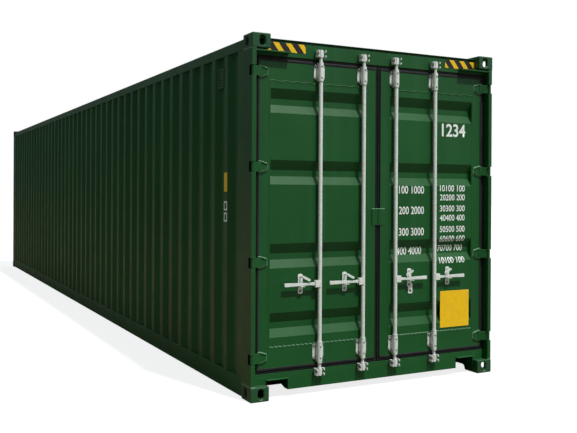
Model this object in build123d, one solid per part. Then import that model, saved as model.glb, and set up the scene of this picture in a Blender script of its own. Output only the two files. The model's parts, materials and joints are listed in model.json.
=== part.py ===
from build123d import *
import math
import os

# A 40 ft high-cube shipping container, in millimetres.
# X runs along the container with the doors at +X, Y across it and Z up.
# The origin is the middle of the footprint, level with the undersides of the corner castings.
# Left and right are those of someone who faces the doors: left is -Y, right is +Y.

# Overall size
LENGTH = 12192.0
WIDTH = 2438.0
HEIGHT = 2896.0

# Corner castings
CASTING_LENGTH = 178.0
CASTING_WIDTH = 162.0
CASTING_HEIGHT = 118.0
CASTING_SKIN = 28.5
CASTING_SIDE_SKIN = 20.0
CASTING_EDGE = 9.0
LOCK_INSET_LENGTH = 103.5
LOCK_INSET_WIDTH = 89.5
LOCK_SLOT_LENGTH = 124.5
LOCK_SLOT_WIDTH = 63.5
LASHING_SLOT_LENGTH = 79.5
LASHING_SLOT_WIDTH = 51.0
LASHING_SLOT_CHAMFER = 7.0

# Steel thicknesses
WALL_SHEET = 1.6
FRONT_SHEET = 2.0
ROOF_SHEET = 2.0
POST_PLATE = 6.0
RAIL_PLATE = 4.0
FORMED_PLATE = 4.0

# Insets from the outer faces of the castings
POST_INSET = 3.0
END_INSET = 6.0
RAIL_INSET = 6.0
WALL_INSET = 8.0

# Side rails
BOTTOM_RAIL_FOOT = 12.0
BOTTOM_RAIL_HEIGHT = 148.0
BOTTOM_RAIL_FLANGE = 48.0
TOP_RAIL_DROP = 32.0
TOP_RAIL_HEIGHT = 80.0
TOP_RAIL_WIDTH = 60.0

# Corrugated side walls
RIB_PITCH = 278.0
RIB_CREST = 72.0
RIB_SLOPE = 68.0
RIB_DEPTH = 36.0

# Corrugated front wall
FRONT_RIB_PITCH = 250.0
FRONT_RIB_CREST = 110.0
FRONT_RIB_SLOPE = 18.0
FRONT_RIB_DEPTH = 45.6
FRONT_BEAM_DEPTH = 60.0

# Corrugated roof
ROOF_RIB_PITCH = 209.0
ROOF_RIB_CREST = 91.0
ROOF_RIB_SLOPE = 13.5
ROOF_RIB_DEPTH = 20.0
ROOF_EDGE = 20.0
ROOF_MARGIN = 20.0
CORNER_PLATE_LENGTH = 110.0
CORNER_PLATE_WIDTH = 300.0
CORNER_PLATE = 4.0

# Floor and underframe
FLOOR_TOP = 176.0
FLOOR_THICKNESS = 28.0
FLOOR_SEAM = 3.0
FLOOR_EDGE_GAP = 10.0
BOARD_LENGTH = 2300.0
CROSS_HEIGHT = 122.0
CROSS_FLANGE = 45.0
CROSS_PLATE = 4.0
CROSS_PITCH = 300.0
TUNNEL_LENGTH = 3315.0
TUNNEL_WIDTH = 1029.0
TUNNEL_HEIGHT = 121.0
TUNNEL_PLATE = 4.0
TUNNEL_SIDE_FOOT = 26.0
FRONT_SILL_FOOT = 18.0

# Door opening
SILL_TOP = 200.0
SILL_FOOT = 57.0
SILL_FOOT_FLAT = 60.0
SILL_REAR_FOOT = 85.0
SILL_DEPTH = 150.0
SILL_NOSE = 55.0
SILL_NOTCH_REACH = 360.0
SILL_NOTCH_TOP = 150.0
SILL_SHELF_REACH = 28.0
SILL_GUSSET_FOOT = 10.0
SILL_GUSSET_SCOOP = 45.0
HEADER_FOOT_DROP = 161.0
HEADER_SHOULDER_DROP = 50.0
HEADER_TOP_DROP = 25.0
HEADER_DEPTH = 110.0
HEADER_LIP_SETBACK = 18.0
LEDGE_REACH = 350.0
LEDGE_DROP = 129.0
LEDGE_THICKNESS = 12.0
POST_FACE_WIDTH = 36.0
POST_JAMB_WIDTH = 50.0
POST_STEP_DEPTH = 115.0

# Door leaves
DOOR_RECESS = 65.0
LEAF_DEPTH = 50.0
LEAF_END_GAP = 29.0
LEAF_OUTER_GAP = 40.0
LEAF_CENTRE_GAP = 44.0
OUTER_STILE = 105.0
INNER_STILE = 94.0
TOP_MEMBER = 170.0
BOTTOM_MEMBER = 179.0
LEAF_PLATE = 3.2
PANEL_SHEET = 2.0
POCKET_SHARES = (0.082, 0.342, 0.657, 0.926)
POCKET_HEIGHT = 196.0
POCKET_UPPER_SLOPE = 80.0
POCKET_LOWER_SLOPE = 66.0
POCKET_END_SLOPE = 5.0
POCKET_END_MARGIN = 8.0
POCKET_DEPTH = 38.0

# Door seals
SEAL_GAP = 0.5
SEAL_CENTRE_GAP = 5.0
SEAL_DEPTH = 30.0
SEAL_SETBACK = 5.0

# Hinges
HINGES = 4
HINGE_END_GAP = 103.0
PIN_INSET_LENGTH = 22.0
PIN_INSET_WIDTH = 20.0
PIN_RADIUS = 8.0
PIN_CLEARANCE = 0.4
KNUCKLE_RADIUS = 14.5
KNUCKLE_HEIGHT = 78.0
KNUCKLE_END_PLAY = 2.0
LUG_HEIGHT = 12.0
BLADE_THICKNESS = 12.0
BLADE_WEB = 7.0
BLADE_RIM = 8.0
BLADE_ROOT_HEIGHT = 94.0
BLADE_MIDDLE_HEIGHT = 80.0
BLADE_TIP_HEIGHT = 50.0
BLADE_ROOT_GAP = 2.0
BLADE_MIDDLE_REACH = 40.0
BLADE_REACH = 84.0
HINGE_WINDOW_DEPTH = 56.0

# Locking bars
BAR_OFFSETS = (585.0, 165.0)
BAR_STANDOFF = 32.0
BAR_RADIUS = 17.0
BAR_WALL = 3.0
BAR_NECK_RADIUS = 13.0
BAR_SILL_LAP = 50.0
BAR_HEADER_LAP = 73.0
CAM_RADIUS = 19.0
CAM_LOBE = 23.0
CAM_LOBE_WIDTH = 22.0
CAM_HEIGHT = 60.0
CAM_SHOULDER = 8.0
KEEPER_WIDTH = 60.0
KEEPER_HEIGHT = 56.0
KEEPER_PLATE = 4.0
HORN_INNER = 30.0
HORN_OUTER = 45.0
HORN_MOUTH_GAP = 6.0
HORN_HEIGHT = 15.0
COLLAR_RADIUS = 22.0
COLLAR_HEIGHT = 10.0
COLLAR_GAP = 2.0

# Bearing brackets of the bars
BRACKET_FOOT_GAP = 111.0
BRACKET_TOP_GAP = 76.0
BRACKET_HEIGHT = 124.0
BRACKET_WIDTH = 100.0
BRACKET_CORNER = 6.0
BRACKET_HAT_HEIGHT = 152.0
BRACKET_PLATE = 5.0
BEARING_CLEARANCE = 0.5

# Bar handles
HANDLE_LEVEL = 902.0
HANDLE_REACH = 330.0
HANDLE_THICKNESS = 12.0
HANDLE_ROOT_HEIGHT = 28.0
HANDLE_NECK_HEIGHT = 19.0
HANDLE_NECK_REACH = 62.0
HANDLE_GRIP_HEIGHT = 30.0
HANDLE_GRIP_CORNER = 5.0
HANDLE_STANDOFF = 39.0
HUB_OFFSET = 33.0
HUB_HEIGHT = 56.0
HUB_WIDTH = 44.0
HUB_CHEEK = 6.0
HUB_PLAY = 1.0
HUB_BOLT_RADIUS = 6.0
HUB_BOLT_CLEARANCE = 0.3

# Handle retainers and their swinging catches
RETAINER_OFFSET = 167.0
RETAINER_WIDTH = 44.0
RETAINER_DROP = 80.0
RETAINER_RISE = 82.0
RETAINER_CORNER = 16.0
RETAINER_PLATE = 5.0
RETAINER_SHELF_REACH = 50.0
SHELF_GAP = 2.0
CATCH_PIVOT_RISE = 62.0
CATCH_BOSS_RADIUS = 7.0
CATCH_STUD_RADIUS = 5.0
CATCH_HEAD_HEIGHT = 3.0
CATCH_LENGTH = 74.0
CATCH_WIDTH = 20.0
CATCH_THICKNESS = 4.0
CATCH_ANGLE = 64.0
CATCH_STANDOFF = 52.0
CATCH_PLAY = 0.5
SEAL_PLATE_DROP = 138.0
SEAL_PLATE_LAP = 30.0
SEAL_PLATE_SHIFT = 12.0
SEAL_PLATE_WIDTH = 46.0
SEAL_PLATE_HOLE = 11.0

# Plate over the centre gap of the doors
COVER_FOOT = 1372.0
COVER_TOP = 1506.0
COVER_LEFT = 60.0
COVER_RIGHT = 72.0
COVER_PLATE = 6.0
COVER_GAP = 6.0

# Ventilators
VENT_RIB = 1
VENT_DROP = 200.0
VENT_HEIGHT = 168.0
VENT_WIDTH = 124.0
VENT_SETBACK = 10.0
VENT_SIDE_GAP = 1.0
VENT_SLOTS = 6
VENT_SLOT_DEPTH = 6.0
VENT_SLOT_MARGIN = 12.0

# Places that follow from the sizes above
END_X = LENGTH / 2
SIDE_Y = WIDTH / 2
POST_END_X = END_X - END_INSET
POST_SIDE_Y = SIDE_Y - POST_INSET
POST_BACK_X = END_X - CASTING_LENGTH
RAIL_Y = SIDE_Y - RAIL_INSET
WALL_Y = SIDE_Y - WALL_INSET
DOOR_X = END_X - DOOR_RECESS
LEAF_BACK_X = DOOR_X - LEAF_DEPTH
CASTING_INNER_Y = SIDE_Y - CASTING_WIDTH
CASTING_FOOT_TOP = HEIGHT - CASTING_HEIGHT
LOCK_X = END_X - LOCK_INSET_LENGTH
LOCK_Y = SIDE_Y - LOCK_INSET_WIDTH
BOTTOM_RAIL_TOP = BOTTOM_RAIL_FOOT + BOTTOM_RAIL_HEIGHT
TOP_RAIL_TOP = HEIGHT - TOP_RAIL_DROP
TOP_RAIL_FOOT = TOP_RAIL_TOP - TOP_RAIL_HEIGHT
SIDE_RIBS = int((2 * POST_BACK_X - RIB_CREST) // RIB_PITCH)
FRONT_RIBS = int((2 * CASTING_INNER_Y - FRONT_RIB_CREST) // FRONT_RIB_PITCH)
ROOF_RIBS = int((2 * POST_BACK_X - ROOF_RIB_PITCH) // ROOF_RIB_PITCH)
FLOOR_FOOT = FLOOR_TOP - FLOOR_THICKNESS
CROSS_FOOT = FLOOR_FOOT - CROSS_HEIGHT
POST_FACE_Y = POST_SIDE_Y - POST_FACE_WIDTH
POST_JAMB_Y = POST_SIDE_Y - POST_JAMB_WIDTH
POST_STEP_X = POST_END_X - POST_STEP_DEPTH
HEADER_FOOT = HEIGHT - HEADER_FOOT_DROP
HEADER_SHOULDER = HEIGHT - HEADER_SHOULDER_DROP
HEADER_TOP = HEIGHT - HEADER_TOP_DROP
LEDGE_TOP = HEIGHT - LEDGE_DROP
LEAF_FOOT = SILL_TOP + LEAF_END_GAP
LEAF_TOP = HEADER_FOOT - LEAF_END_GAP
LEAF_OUTER = POST_FACE_Y - LEAF_OUTER_GAP
PIN_X = END_X - PIN_INSET_LENGTH
PIN_Y = SIDE_Y - PIN_INSET_WIDTH
BAR_X = DOOR_X + BAR_STANDOFF
HANDLE_X = DOOR_X + HANDLE_STANDOFF
LEAF_INNER = LEAF_CENTRE_GAP / 2
PANEL_LOW_Y = LEAF_INNER + INNER_STILE
PANEL_HIGH_Y = LEAF_OUTER - OUTER_STILE
PANEL_FOOT = LEAF_FOOT + BOTTOM_MEMBER
PANEL_TOP = LEAF_TOP - TOP_MEMBER
POCKET_LEVELS = [PANEL_FOOT + share * (PANEL_TOP - PANEL_FOOT) for share in POCKET_SHARES]
BLADE_ROOT = LEAF_OUTER - BLADE_ROOT_GAP
HINGE_LOW = LEAF_FOOT + HINGE_END_GAP
HINGE_HIGH = LEAF_TOP - HINGE_END_GAP
HINGE_LEVELS = [HINGE_LOW + step * (HINGE_HIGH - HINGE_LOW) / (HINGES - 1) for step in range(HINGES)]
BAR_FOOT = SILL_TOP - BAR_SILL_LAP
BAR_TOP = HEADER_FOOT + BAR_HEADER_LAP
BRACKET_LEVELS = (LEAF_FOOT + BRACKET_FOOT_GAP, LEAF_TOP - BRACKET_TOP_GAP)
RETAINER_FOOT = HANDLE_LEVEL - RETAINER_DROP
RETAINER_TOP = HANDLE_LEVEL + RETAINER_RISE
CATCH_PIVOT_LEVEL = HANDLE_LEVEL + CATCH_PIVOT_RISE
SEAL_PLATE_FOOT = HANDLE_LEVEL - SEAL_PLATE_DROP
VENT_TOP = HEIGHT - VENT_DROP
VENT_FOOT = VENT_TOP - VENT_HEIGHT


def block(x_low, x_high, y_low, y_high, z_low, z_high):
    """A plain block between two corners."""
    size = Box(x_high - x_low, y_high - y_low, z_high - z_low)
    return Pos((x_low + x_high) / 2, (y_low + y_high) / 2, (z_low + z_high) / 2) * size


def prism_z(points, z_low, z_high):
    """A plan outline of (x, y) points, raised from z_low to z_high."""
    face = make_face(Polyline(*[(x, y, z_low) for x, y in points], close=True))
    return extrude(face, z_high - z_low, dir=(0, 0, 1))


def prism_y(points, y_low, y_high):
    """A side outline of (x, z) points, run from y_low to y_high."""
    face = make_face(Polyline(*[(x, y_low, z) for x, z in points], close=True))
    return extrude(face, y_high - y_low, dir=(0, 1, 0))


def prism_x(points, x_low, x_high):
    """An end outline of (y, z) points, run from x_low to x_high."""
    face = make_face(Polyline(*[(x_low, y, z) for y, z in points], close=True))
    return extrude(face, x_high - x_low, dir=(1, 0, 0))


def rod_z(radius, x, y, z_low, z_high):
    """An upright round bar."""
    return Pos(x, y, (z_low + z_high) / 2) * Cylinder(radius, z_high - z_low)


def rod_x(radius, x_low, x_high, y, z):
    """A round bar along the container."""
    return Pos((x_low + x_high) / 2, y, z) * Rot(0, 90, 0) * Cylinder(radius, x_high - x_low)


def flip_side(shape):
    """The same shape on the other side of the container."""
    return mirror(shape, about=Plane.XZ)


def flip_end(shape):
    """The same shape at the other end of the container."""
    return mirror(shape, about=Plane.YZ)


def on_side(shape, side):
    """A shape drawn on the right, +Y, side, as it is there or mirrored to the left."""
    return shape if side == "right" else flip_side(shape)


def solids_of(shapes):
    """One compound of every solid in the given shapes."""
    return Compound(children=[solid for shape in shapes for solid in shape.solids()])


def save(name, *shapes):
    """Write one sub-part."""
    export_step(solids_of(shapes), f"parts/{name}.step")


def four_corners(shape):
    """A shape at the right door corner, repeated at the other three corners."""
    pair = [shape, flip_side(shape)]
    return pair + [flip_end(half) for half in pair]


# Corner castings

def casting(z_low, slot_at_top):
    """The hollow casting at the right door corner, with slots in three faces."""
    z_high = z_low + CASTING_HEIGHT
    body = block(POST_BACK_X, END_X, CASTING_INNER_Y, SIDE_Y, z_low, z_high)
    body = fillet(body.edges(), CASTING_EDGE)
    body -= block(
        POST_BACK_X + CASTING_SIDE_SKIN,
        END_X - CASTING_SIDE_SKIN,
        CASTING_INNER_Y + CASTING_SIDE_SKIN,
        SIDE_Y - CASTING_SIDE_SKIN,
        z_low + CASTING_SKIN,
        z_high - CASTING_SKIN,
    )
    lock_z = z_high - CASTING_SKIN if slot_at_top else z_low - CASTING_SKIN
    lock_slot = extrude(SlotOverall(LOCK_SLOT_LENGTH, LOCK_SLOT_WIDTH), 2 * CASTING_SKIN)
    body -= Pos(LOCK_X, LOCK_Y, lock_z) * lock_slot
    flare = 2 * LASHING_SLOT_CHAMFER
    narrow = extrude(SlotOverall(LASHING_SLOT_LENGTH, LASHING_SLOT_WIDTH), 2 * CASTING_SIDE_SKIN)
    wide_sketch = SlotOverall(LASHING_SLOT_LENGTH + flare, LASHING_SLOT_WIDTH + flare)
    wide = extrude(wide_sketch, LASHING_SLOT_CHAMFER, taper=45)
    middle_z = (z_low + z_high) / 2
    end_plane = Plane(origin=(END_X, LOCK_Y, middle_z), x_dir=(0, 0, 1), z_dir=(-1, 0, 0))
    side_plane = Plane(origin=(LOCK_X, SIDE_Y, middle_z), x_dir=(0, 0, 1), z_dir=(0, -1, 0))
    for plane in (end_plane, side_plane):
        body -= plane * narrow
        body -= plane * wide
    return body


# Side rails and posts

def top_rail():
    """The square tube along the top of the right side."""
    outer = [
        (RAIL_Y - TOP_RAIL_WIDTH, TOP_RAIL_FOOT),
        (RAIL_Y, TOP_RAIL_FOOT),
        (RAIL_Y, TOP_RAIL_TOP),
        (RAIL_Y - TOP_RAIL_WIDTH, TOP_RAIL_TOP),
    ]
    tube = prism_x(outer, -POST_BACK_X, POST_BACK_X)
    hollow = block(
        -POST_BACK_X,
        POST_BACK_X,
        RAIL_Y - TOP_RAIL_WIDTH + RAIL_PLATE,
        RAIL_Y - RAIL_PLATE,
        TOP_RAIL_FOOT + RAIL_PLATE,
        TOP_RAIL_TOP - RAIL_PLATE,
    )
    return tube - hollow


def bottom_rail():
    """The channel along the bottom of the right side, open towards the middle."""
    inner_y = RAIL_Y - BOTTOM_RAIL_FLANGE
    web_y = RAIL_Y - RAIL_PLATE
    outline = [
        (inner_y, BOTTOM_RAIL_FOOT),
        (RAIL_Y, BOTTOM_RAIL_FOOT),
        (RAIL_Y, BOTTOM_RAIL_TOP),
        (inner_y, BOTTOM_RAIL_TOP),
        (inner_y, BOTTOM_RAIL_TOP - RAIL_PLATE),
        (web_y, BOTTOM_RAIL_TOP - RAIL_PLATE),
        (web_y, BOTTOM_RAIL_FOOT + RAIL_PLATE),
        (inner_y, BOTTOM_RAIL_FOOT + RAIL_PLATE),
    ]
    return prism_x(outline, -POST_BACK_X, POST_BACK_X)


def door_post():
    """The stepped hollow post of the right door side, with a window at each hinge."""
    outer = [
        (POST_BACK_X, POST_SIDE_Y),
        (POST_END_X, POST_SIDE_Y),
        (POST_END_X, POST_FACE_Y),
        (POST_STEP_X, POST_FACE_Y),
        (POST_STEP_X, POST_JAMB_Y),
        (POST_BACK_X, POST_JAMB_Y),
    ]
    inner = [
        (POST_BACK_X + POST_PLATE, POST_SIDE_Y - POST_PLATE),
        (POST_END_X - POST_PLATE, POST_SIDE_Y - POST_PLATE),
        (POST_END_X - POST_PLATE, POST_FACE_Y + POST_PLATE),
        (POST_STEP_X - POST_PLATE, POST_FACE_Y + POST_PLATE),
        (POST_STEP_X - POST_PLATE, POST_JAMB_Y + POST_PLATE),
        (POST_BACK_X + POST_PLATE, POST_JAMB_Y + POST_PLATE),
    ]
    post = prism_z(outer, CASTING_HEIGHT, CASTING_FOOT_TOP)
    post -= prism_z(inner, CASTING_HEIGHT, CASTING_FOOT_TOP)
    for level in HINGE_LEVELS:
        post -= hinge_window(level)
    return post


def hinge_window(level):
    """The space cut from the post's corner for one hinge and its two lugs."""
    half = KNUCKLE_HEIGHT / 2 + KNUCKLE_END_PLAY + LUG_HEIGHT
    return block(
        POST_END_X - HINGE_WINDOW_DEPTH,
        END_X,
        POST_FACE_Y - CASTING_EDGE,
        SIDE_Y,
        level - half,
        level + half,
    )


def front_post():
    """The pressed post of the right front corner, drawn at the door end and flipped over later."""
    outline = [
        (POST_BACK_X, POST_SIDE_Y),
        (POST_END_X, POST_SIDE_Y),
        (POST_END_X, CASTING_INNER_Y),
        (POST_END_X - FRONT_RIB_DEPTH, CASTING_INNER_Y),
        (POST_END_X - FRONT_RIB_DEPTH, CASTING_INNER_Y + POST_PLATE),
        (POST_END_X - POST_PLATE, CASTING_INNER_Y + POST_PLATE),
        (POST_END_X - POST_PLATE, POST_SIDE_Y - POST_PLATE),
        (POST_BACK_X + POST_PLATE, POST_SIDE_Y - POST_PLATE),
        (POST_BACK_X + POST_PLATE, POST_JAMB_Y),
        (POST_BACK_X, POST_JAMB_Y),
    ]
    return prism_z(outline, CASTING_HEIGHT, CASTING_FOOT_TOP)


# Corrugated sheets

def rib_line(pitch, crest, slope, depth, ribs, reach):
    """Points (along, inward) of a corrugation that is out at its crests and in at its troughs."""
    points = [(-reach, 0.0)]
    for number in range(ribs):
        trough = (number - (ribs - 1) / 2) * pitch
        half_mouth = (pitch - crest) / 2
        half_bed = half_mouth - slope
        points += [
            (trough - half_mouth, 0.0),
            (trough - half_bed, depth),
            (trough + half_bed, depth),
            (trough + half_mouth, 0.0),
        ]
    points.append((reach, 0.0))
    return points


def offset_side(line, thickness):
    """The inward side of a sheet whose outward side is the given line, with mitred bends."""
    inner = []
    last = len(line) - 1
    for index, (along, inward) in enumerate(line):
        before = line[max(index - 1, 0)]
        after = line[min(index + 1, last)]
        angle_in = math.atan2(inward - before[1], along - before[0]) if index else 0.0
        angle_out = math.atan2(after[1] - inward, after[0] - along) if index < last else 0.0
        normal = (angle_in + angle_out) / 2
        reach = thickness / math.cos((angle_out - angle_in) / 2)
        inner.append((along - reach * math.sin(normal), inward + reach * math.cos(normal)))
    return inner


def sheet_outline(line, thickness):
    """A closed outline that gives a corrugation line its sheet thickness."""
    return line + offset_side(line, thickness)[::-1]


def side_wall():
    """The corrugated sheet of the right side."""
    line = rib_line(RIB_PITCH, RIB_CREST, RIB_SLOPE, RIB_DEPTH, SIDE_RIBS, POST_BACK_X)
    outline = [(along, WALL_Y - inward) for along, inward in sheet_outline(line, WALL_SHEET)]
    return prism_z(outline, BOTTOM_RAIL_TOP, TOP_RAIL_FOOT)


def front_wall():
    """The corrugated sheet of the closed end."""
    depth = FRONT_RIB_DEPTH - FRONT_SHEET
    line = rib_line(FRONT_RIB_PITCH, FRONT_RIB_CREST, FRONT_RIB_SLOPE, depth, FRONT_RIBS, CASTING_INNER_Y)
    outline = [(inward - POST_END_X, along) for along, inward in sheet_outline(line, FRONT_SHEET)]
    return prism_z(outline, FLOOR_TOP, TOP_RAIL_FOOT)


def rib_body(lift, drop, edge_y):
    """The space under the roof's ribs, raised by lift, cut off at drop, with sloping rib ends."""
    reach = ROOF_RIBS * ROOF_RIB_PITCH / 2
    gap = ROOF_RIB_PITCH - ROOF_RIB_CREST
    trough = rib_line(ROOF_RIB_PITCH, gap, ROOF_RIB_SLOPE, ROOF_RIB_DEPTH, ROOF_RIBS, reach)
    base_z = TOP_RAIL_TOP + lift
    top = [(along, base_z + inward) for along, inward in trough]
    ribs = prism_y(top + [(reach, drop), (-reach, drop)], -edge_y, edge_y)
    ends = [
        (-edge_y, drop),
        (edge_y, drop),
        (edge_y, base_z),
        (edge_y - ROOF_RIB_DEPTH, base_z + ROOF_RIB_DEPTH),
        (ROOF_RIB_DEPTH - edge_y, base_z + ROOF_RIB_DEPTH),
        (-edge_y, base_z),
    ]
    return ribs & prism_x(ends, -reach, reach)


def roof():
    """The pressed roof sheet: a flat sheet with raised ribs across it."""
    half_width = RAIL_Y - ROOF_EDGE
    rib_end = half_width - ROOF_MARGIN
    under = TOP_RAIL_TOP - ROOF_SHEET
    sheet = block(-POST_BACK_X, POST_BACK_X, -half_width, half_width, TOP_RAIL_TOP, TOP_RAIL_TOP + ROOF_SHEET)
    sheet += block(
        -POST_END_X, -POST_BACK_X, -CASTING_INNER_Y, CASTING_INNER_Y, TOP_RAIL_TOP, TOP_RAIL_TOP + ROOF_SHEET
    )
    sheet += rib_body(ROOF_SHEET, TOP_RAIL_TOP, rib_end)
    return sheet - rib_body(0.0, under, rib_end - ROOF_SHEET)


def roof_corner_plate():
    """The doubler beside the right door corner casting."""
    return block(
        POST_BACK_X - CORNER_PLATE_LENGTH,
        POST_BACK_X,
        RAIL_Y - ROOF_EDGE - CORNER_PLATE_WIDTH,
        RAIL_Y - ROOF_EDGE,
        TOP_RAIL_TOP + ROOF_SHEET,
        TOP_RAIL_TOP + ROOF_SHEET + CORNER_PLATE,
    )


# Beams across the two ends

def door_header():
    """The hollow beam over the doors, with a stepped top and a ledge under each casting."""
    back_x = DOOR_X - HEADER_DEPTH
    lip_x = DOOR_X - HEADER_LIP_SETBACK
    outer = [
        (back_x, HEADER_FOOT),
        (DOOR_X, HEADER_FOOT),
        (DOOR_X, HEADER_SHOULDER),
        (lip_x, HEADER_SHOULDER),
        (lip_x, HEADER_TOP),
        (back_x, HEADER_TOP),
    ]
    plate = FORMED_PLATE
    inner = [
        (back_x + plate, HEADER_FOOT + plate),
        (DOOR_X - plate, HEADER_FOOT + plate),
        (DOOR_X - plate, HEADER_SHOULDER - plate),
        (lip_x - plate, HEADER_SHOULDER - plate),
        (lip_x - plate, HEADER_TOP - plate),
        (back_x + plate, HEADER_TOP - plate),
    ]
    beam = prism_y(outer, -POST_FACE_Y, POST_FACE_Y) - prism_y(inner, -POST_FACE_Y, POST_FACE_Y)
    casting_room = block(POST_BACK_X, END_X, CASTING_INNER_Y, SIDE_Y, CASTING_FOOT_TOP, HEIGHT)
    jamb_room = block(back_x, POST_STEP_X, POST_JAMB_Y, SIDE_Y, HEADER_FOOT, HEADER_TOP)
    ledge = block(
        DOOR_X, POST_END_X, SIDE_Y - LEDGE_REACH, POST_FACE_Y, LEDGE_TOP - LEDGE_THICKNESS, LEDGE_TOP
    )
    for side in ("left", "right"):
        beam -= on_side(casting_room, side)
        beam -= on_side(jamb_room, side)
        beam += on_side(ledge, side)
    return beam


def sill_section(low_z):
    """The outer and inner section of the sill's box from a level up to the floor's top."""
    back_x = DOOR_X - SILL_DEPTH
    plate = FORMED_PLATE
    outer = block(back_x, DOOR_X, 0.0, POST_FACE_Y, low_z, FLOOR_TOP)
    return outer - block(back_x + plate, DOOR_X - plate, 0.0, POST_FACE_Y, low_z, FLOOR_TOP - plate)


def sill_middle():
    """The hollow box between the notches, with a rising bottom and a scooped plate at each end."""
    back_x = DOOR_X - SILL_DEPTH
    flat_x = DOOR_X - SILL_FOOT_FLAT
    end_y = SIDE_Y - SILL_NOTCH_REACH
    plate = FORMED_PLATE
    outer = [
        (back_x, SILL_REAR_FOOT),
        (flat_x, SILL_FOOT),
        (DOOR_X, SILL_FOOT),
        (DOOR_X, FLOOR_TOP),
        (back_x, FLOOR_TOP),
    ]
    inner = [
        (back_x + plate, SILL_REAR_FOOT + plate),
        (flat_x, SILL_FOOT + plate),
        (DOOR_X - plate, SILL_FOOT + plate),
        (DOOR_X - plate, FLOOR_TOP - plate),
        (back_x + plate, FLOOR_TOP - plate),
    ]
    body = prism_y(outer, -end_y, end_y)
    scoop = Pos(back_x, 0, SILL_REAR_FOOT) * Rot(90, 0, 0) * Cylinder(SILL_GUSSET_SCOOP, 2 * end_y)
    hollow = prism_y(inner, POST_PLATE - end_y, end_y - POST_PLATE)
    return body - hollow - (scoop & prism_y(inner, -end_y, end_y))


def sill_lintel():
    """The box over the right notch, with the notch's shelf under it."""
    back_x = DOOR_X - SILL_DEPTH
    inner_y = SIDE_Y - SILL_NOTCH_REACH
    shelf_top = SILL_NOTCH_TOP + POST_PLATE
    lintel = sill_section(shelf_top) & block(0.0, END_X, inner_y, CASTING_INNER_Y, shelf_top, SILL_TOP)
    return lintel + block(
        back_x, DOOR_X + SILL_SHELF_REACH, inner_y, CASTING_INNER_Y, SILL_NOTCH_TOP, shelf_top
    )


def sill_gusset():
    """The plate on the inner face of the right casting, scooped out behind it."""
    back_x = DOOR_X - SILL_DEPTH
    inner_y = CASTING_INNER_Y - POST_PLATE
    gusset = block(back_x, DOOR_X, inner_y, CASTING_INNER_Y, SILL_GUSSET_FOOT, SILL_NOTCH_TOP)
    return gusset - Pos(back_x, inner_y, SILL_GUSSET_FOOT) * Rot(90, 0, 0) * Cylinder(
        SILL_GUSSET_SCOOP, 4 * POST_PLATE
    )


def sill_saddle():
    """The box over the right casting, up to the post."""
    back_x = DOOR_X - SILL_DEPTH
    saddle = sill_section(CASTING_HEIGHT)
    saddle &= block(0.0, END_X, CASTING_INNER_Y, POST_FACE_Y, CASTING_HEIGHT, SILL_TOP)
    return saddle - jamb_space(back_x, 0.0, SILL_TOP)


def jamb_space(back_x, low_z, high_z):
    """The space that the right post's jamb and the bottom rail take from the sill."""
    return block(back_x, POST_STEP_X, RAIL_Y - BOTTOM_RAIL_FLANGE, SIDE_Y, low_z, high_z)


def sill_threshold():
    """The folded strip along the sill's top, with a slope up from the floor to its nose."""
    nose_x = DOOR_X - SILL_NOSE
    slope_x = nose_x - (SILL_TOP - FLOOR_TOP)
    plate = FORMED_PLATE
    outer = [(slope_x, FLOOR_TOP), (DOOR_X, FLOOR_TOP), (DOOR_X, SILL_TOP), (nose_x, SILL_TOP)]
    inner = [
        (slope_x + 2 * plate, FLOOR_TOP),
        (DOOR_X - plate, FLOOR_TOP),
        (DOOR_X - plate, SILL_TOP - plate),
        (nose_x + plate, SILL_TOP - plate),
    ]
    strip = prism_y(outer, -POST_FACE_Y, POST_FACE_Y) - prism_y(inner, -POST_FACE_Y, POST_FACE_Y)
    for side in ("left", "right"):
        strip -= on_side(jamb_space(slope_x, 0.0, SILL_TOP), side)
    return strip


def door_sill():
    """The beam under the doors in its plates, with a notch right through it beside each casting."""
    plates = [sill_middle(), sill_threshold()]
    for side in ("left", "right"):
        plates += [on_side(plate, side) for plate in (sill_lintel(), sill_gusset(), sill_saddle())]
    return plates


def front_top_rail():
    """The hollow beam over the closed end."""
    back_x = POST_END_X - FRONT_BEAM_DEPTH
    plate = RAIL_PLATE
    beam = block(-POST_END_X, -back_x, -CASTING_INNER_Y, CASTING_INNER_Y, TOP_RAIL_FOOT, TOP_RAIL_TOP)
    return beam - block(
        plate - POST_END_X,
        -back_x - plate,
        -CASTING_INNER_Y,
        CASTING_INNER_Y,
        TOP_RAIL_FOOT + plate,
        TOP_RAIL_TOP - plate,
    )


def front_sill():
    """The beam under the closed end, arched over the gooseneck tunnel."""
    back_x = POST_END_X - FRONT_BEAM_DEPTH
    plate = FORMED_PLATE
    outer = block(-POST_END_X, -back_x, -CASTING_INNER_Y, CASTING_INNER_Y, FRONT_SILL_FOOT, FLOOR_TOP)
    mouth = TUNNEL_WIDTH / 2
    outer -= block(-END_X, 0.0, -mouth, mouth, 0.0, TUNNEL_HEIGHT)
    low_z = FRONT_SILL_FOOT + plate
    high_z = FLOOR_TOP - plate
    hollow = block(plate - POST_END_X, plate - back_x, -CASTING_INNER_Y, CASTING_INNER_Y, low_z, high_z)
    hollow -= block(-END_X, 0.0, -mouth - plate, mouth + plate, 0.0, TUNNEL_HEIGHT + plate)
    return outer - hollow


# Floor and underframe

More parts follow.
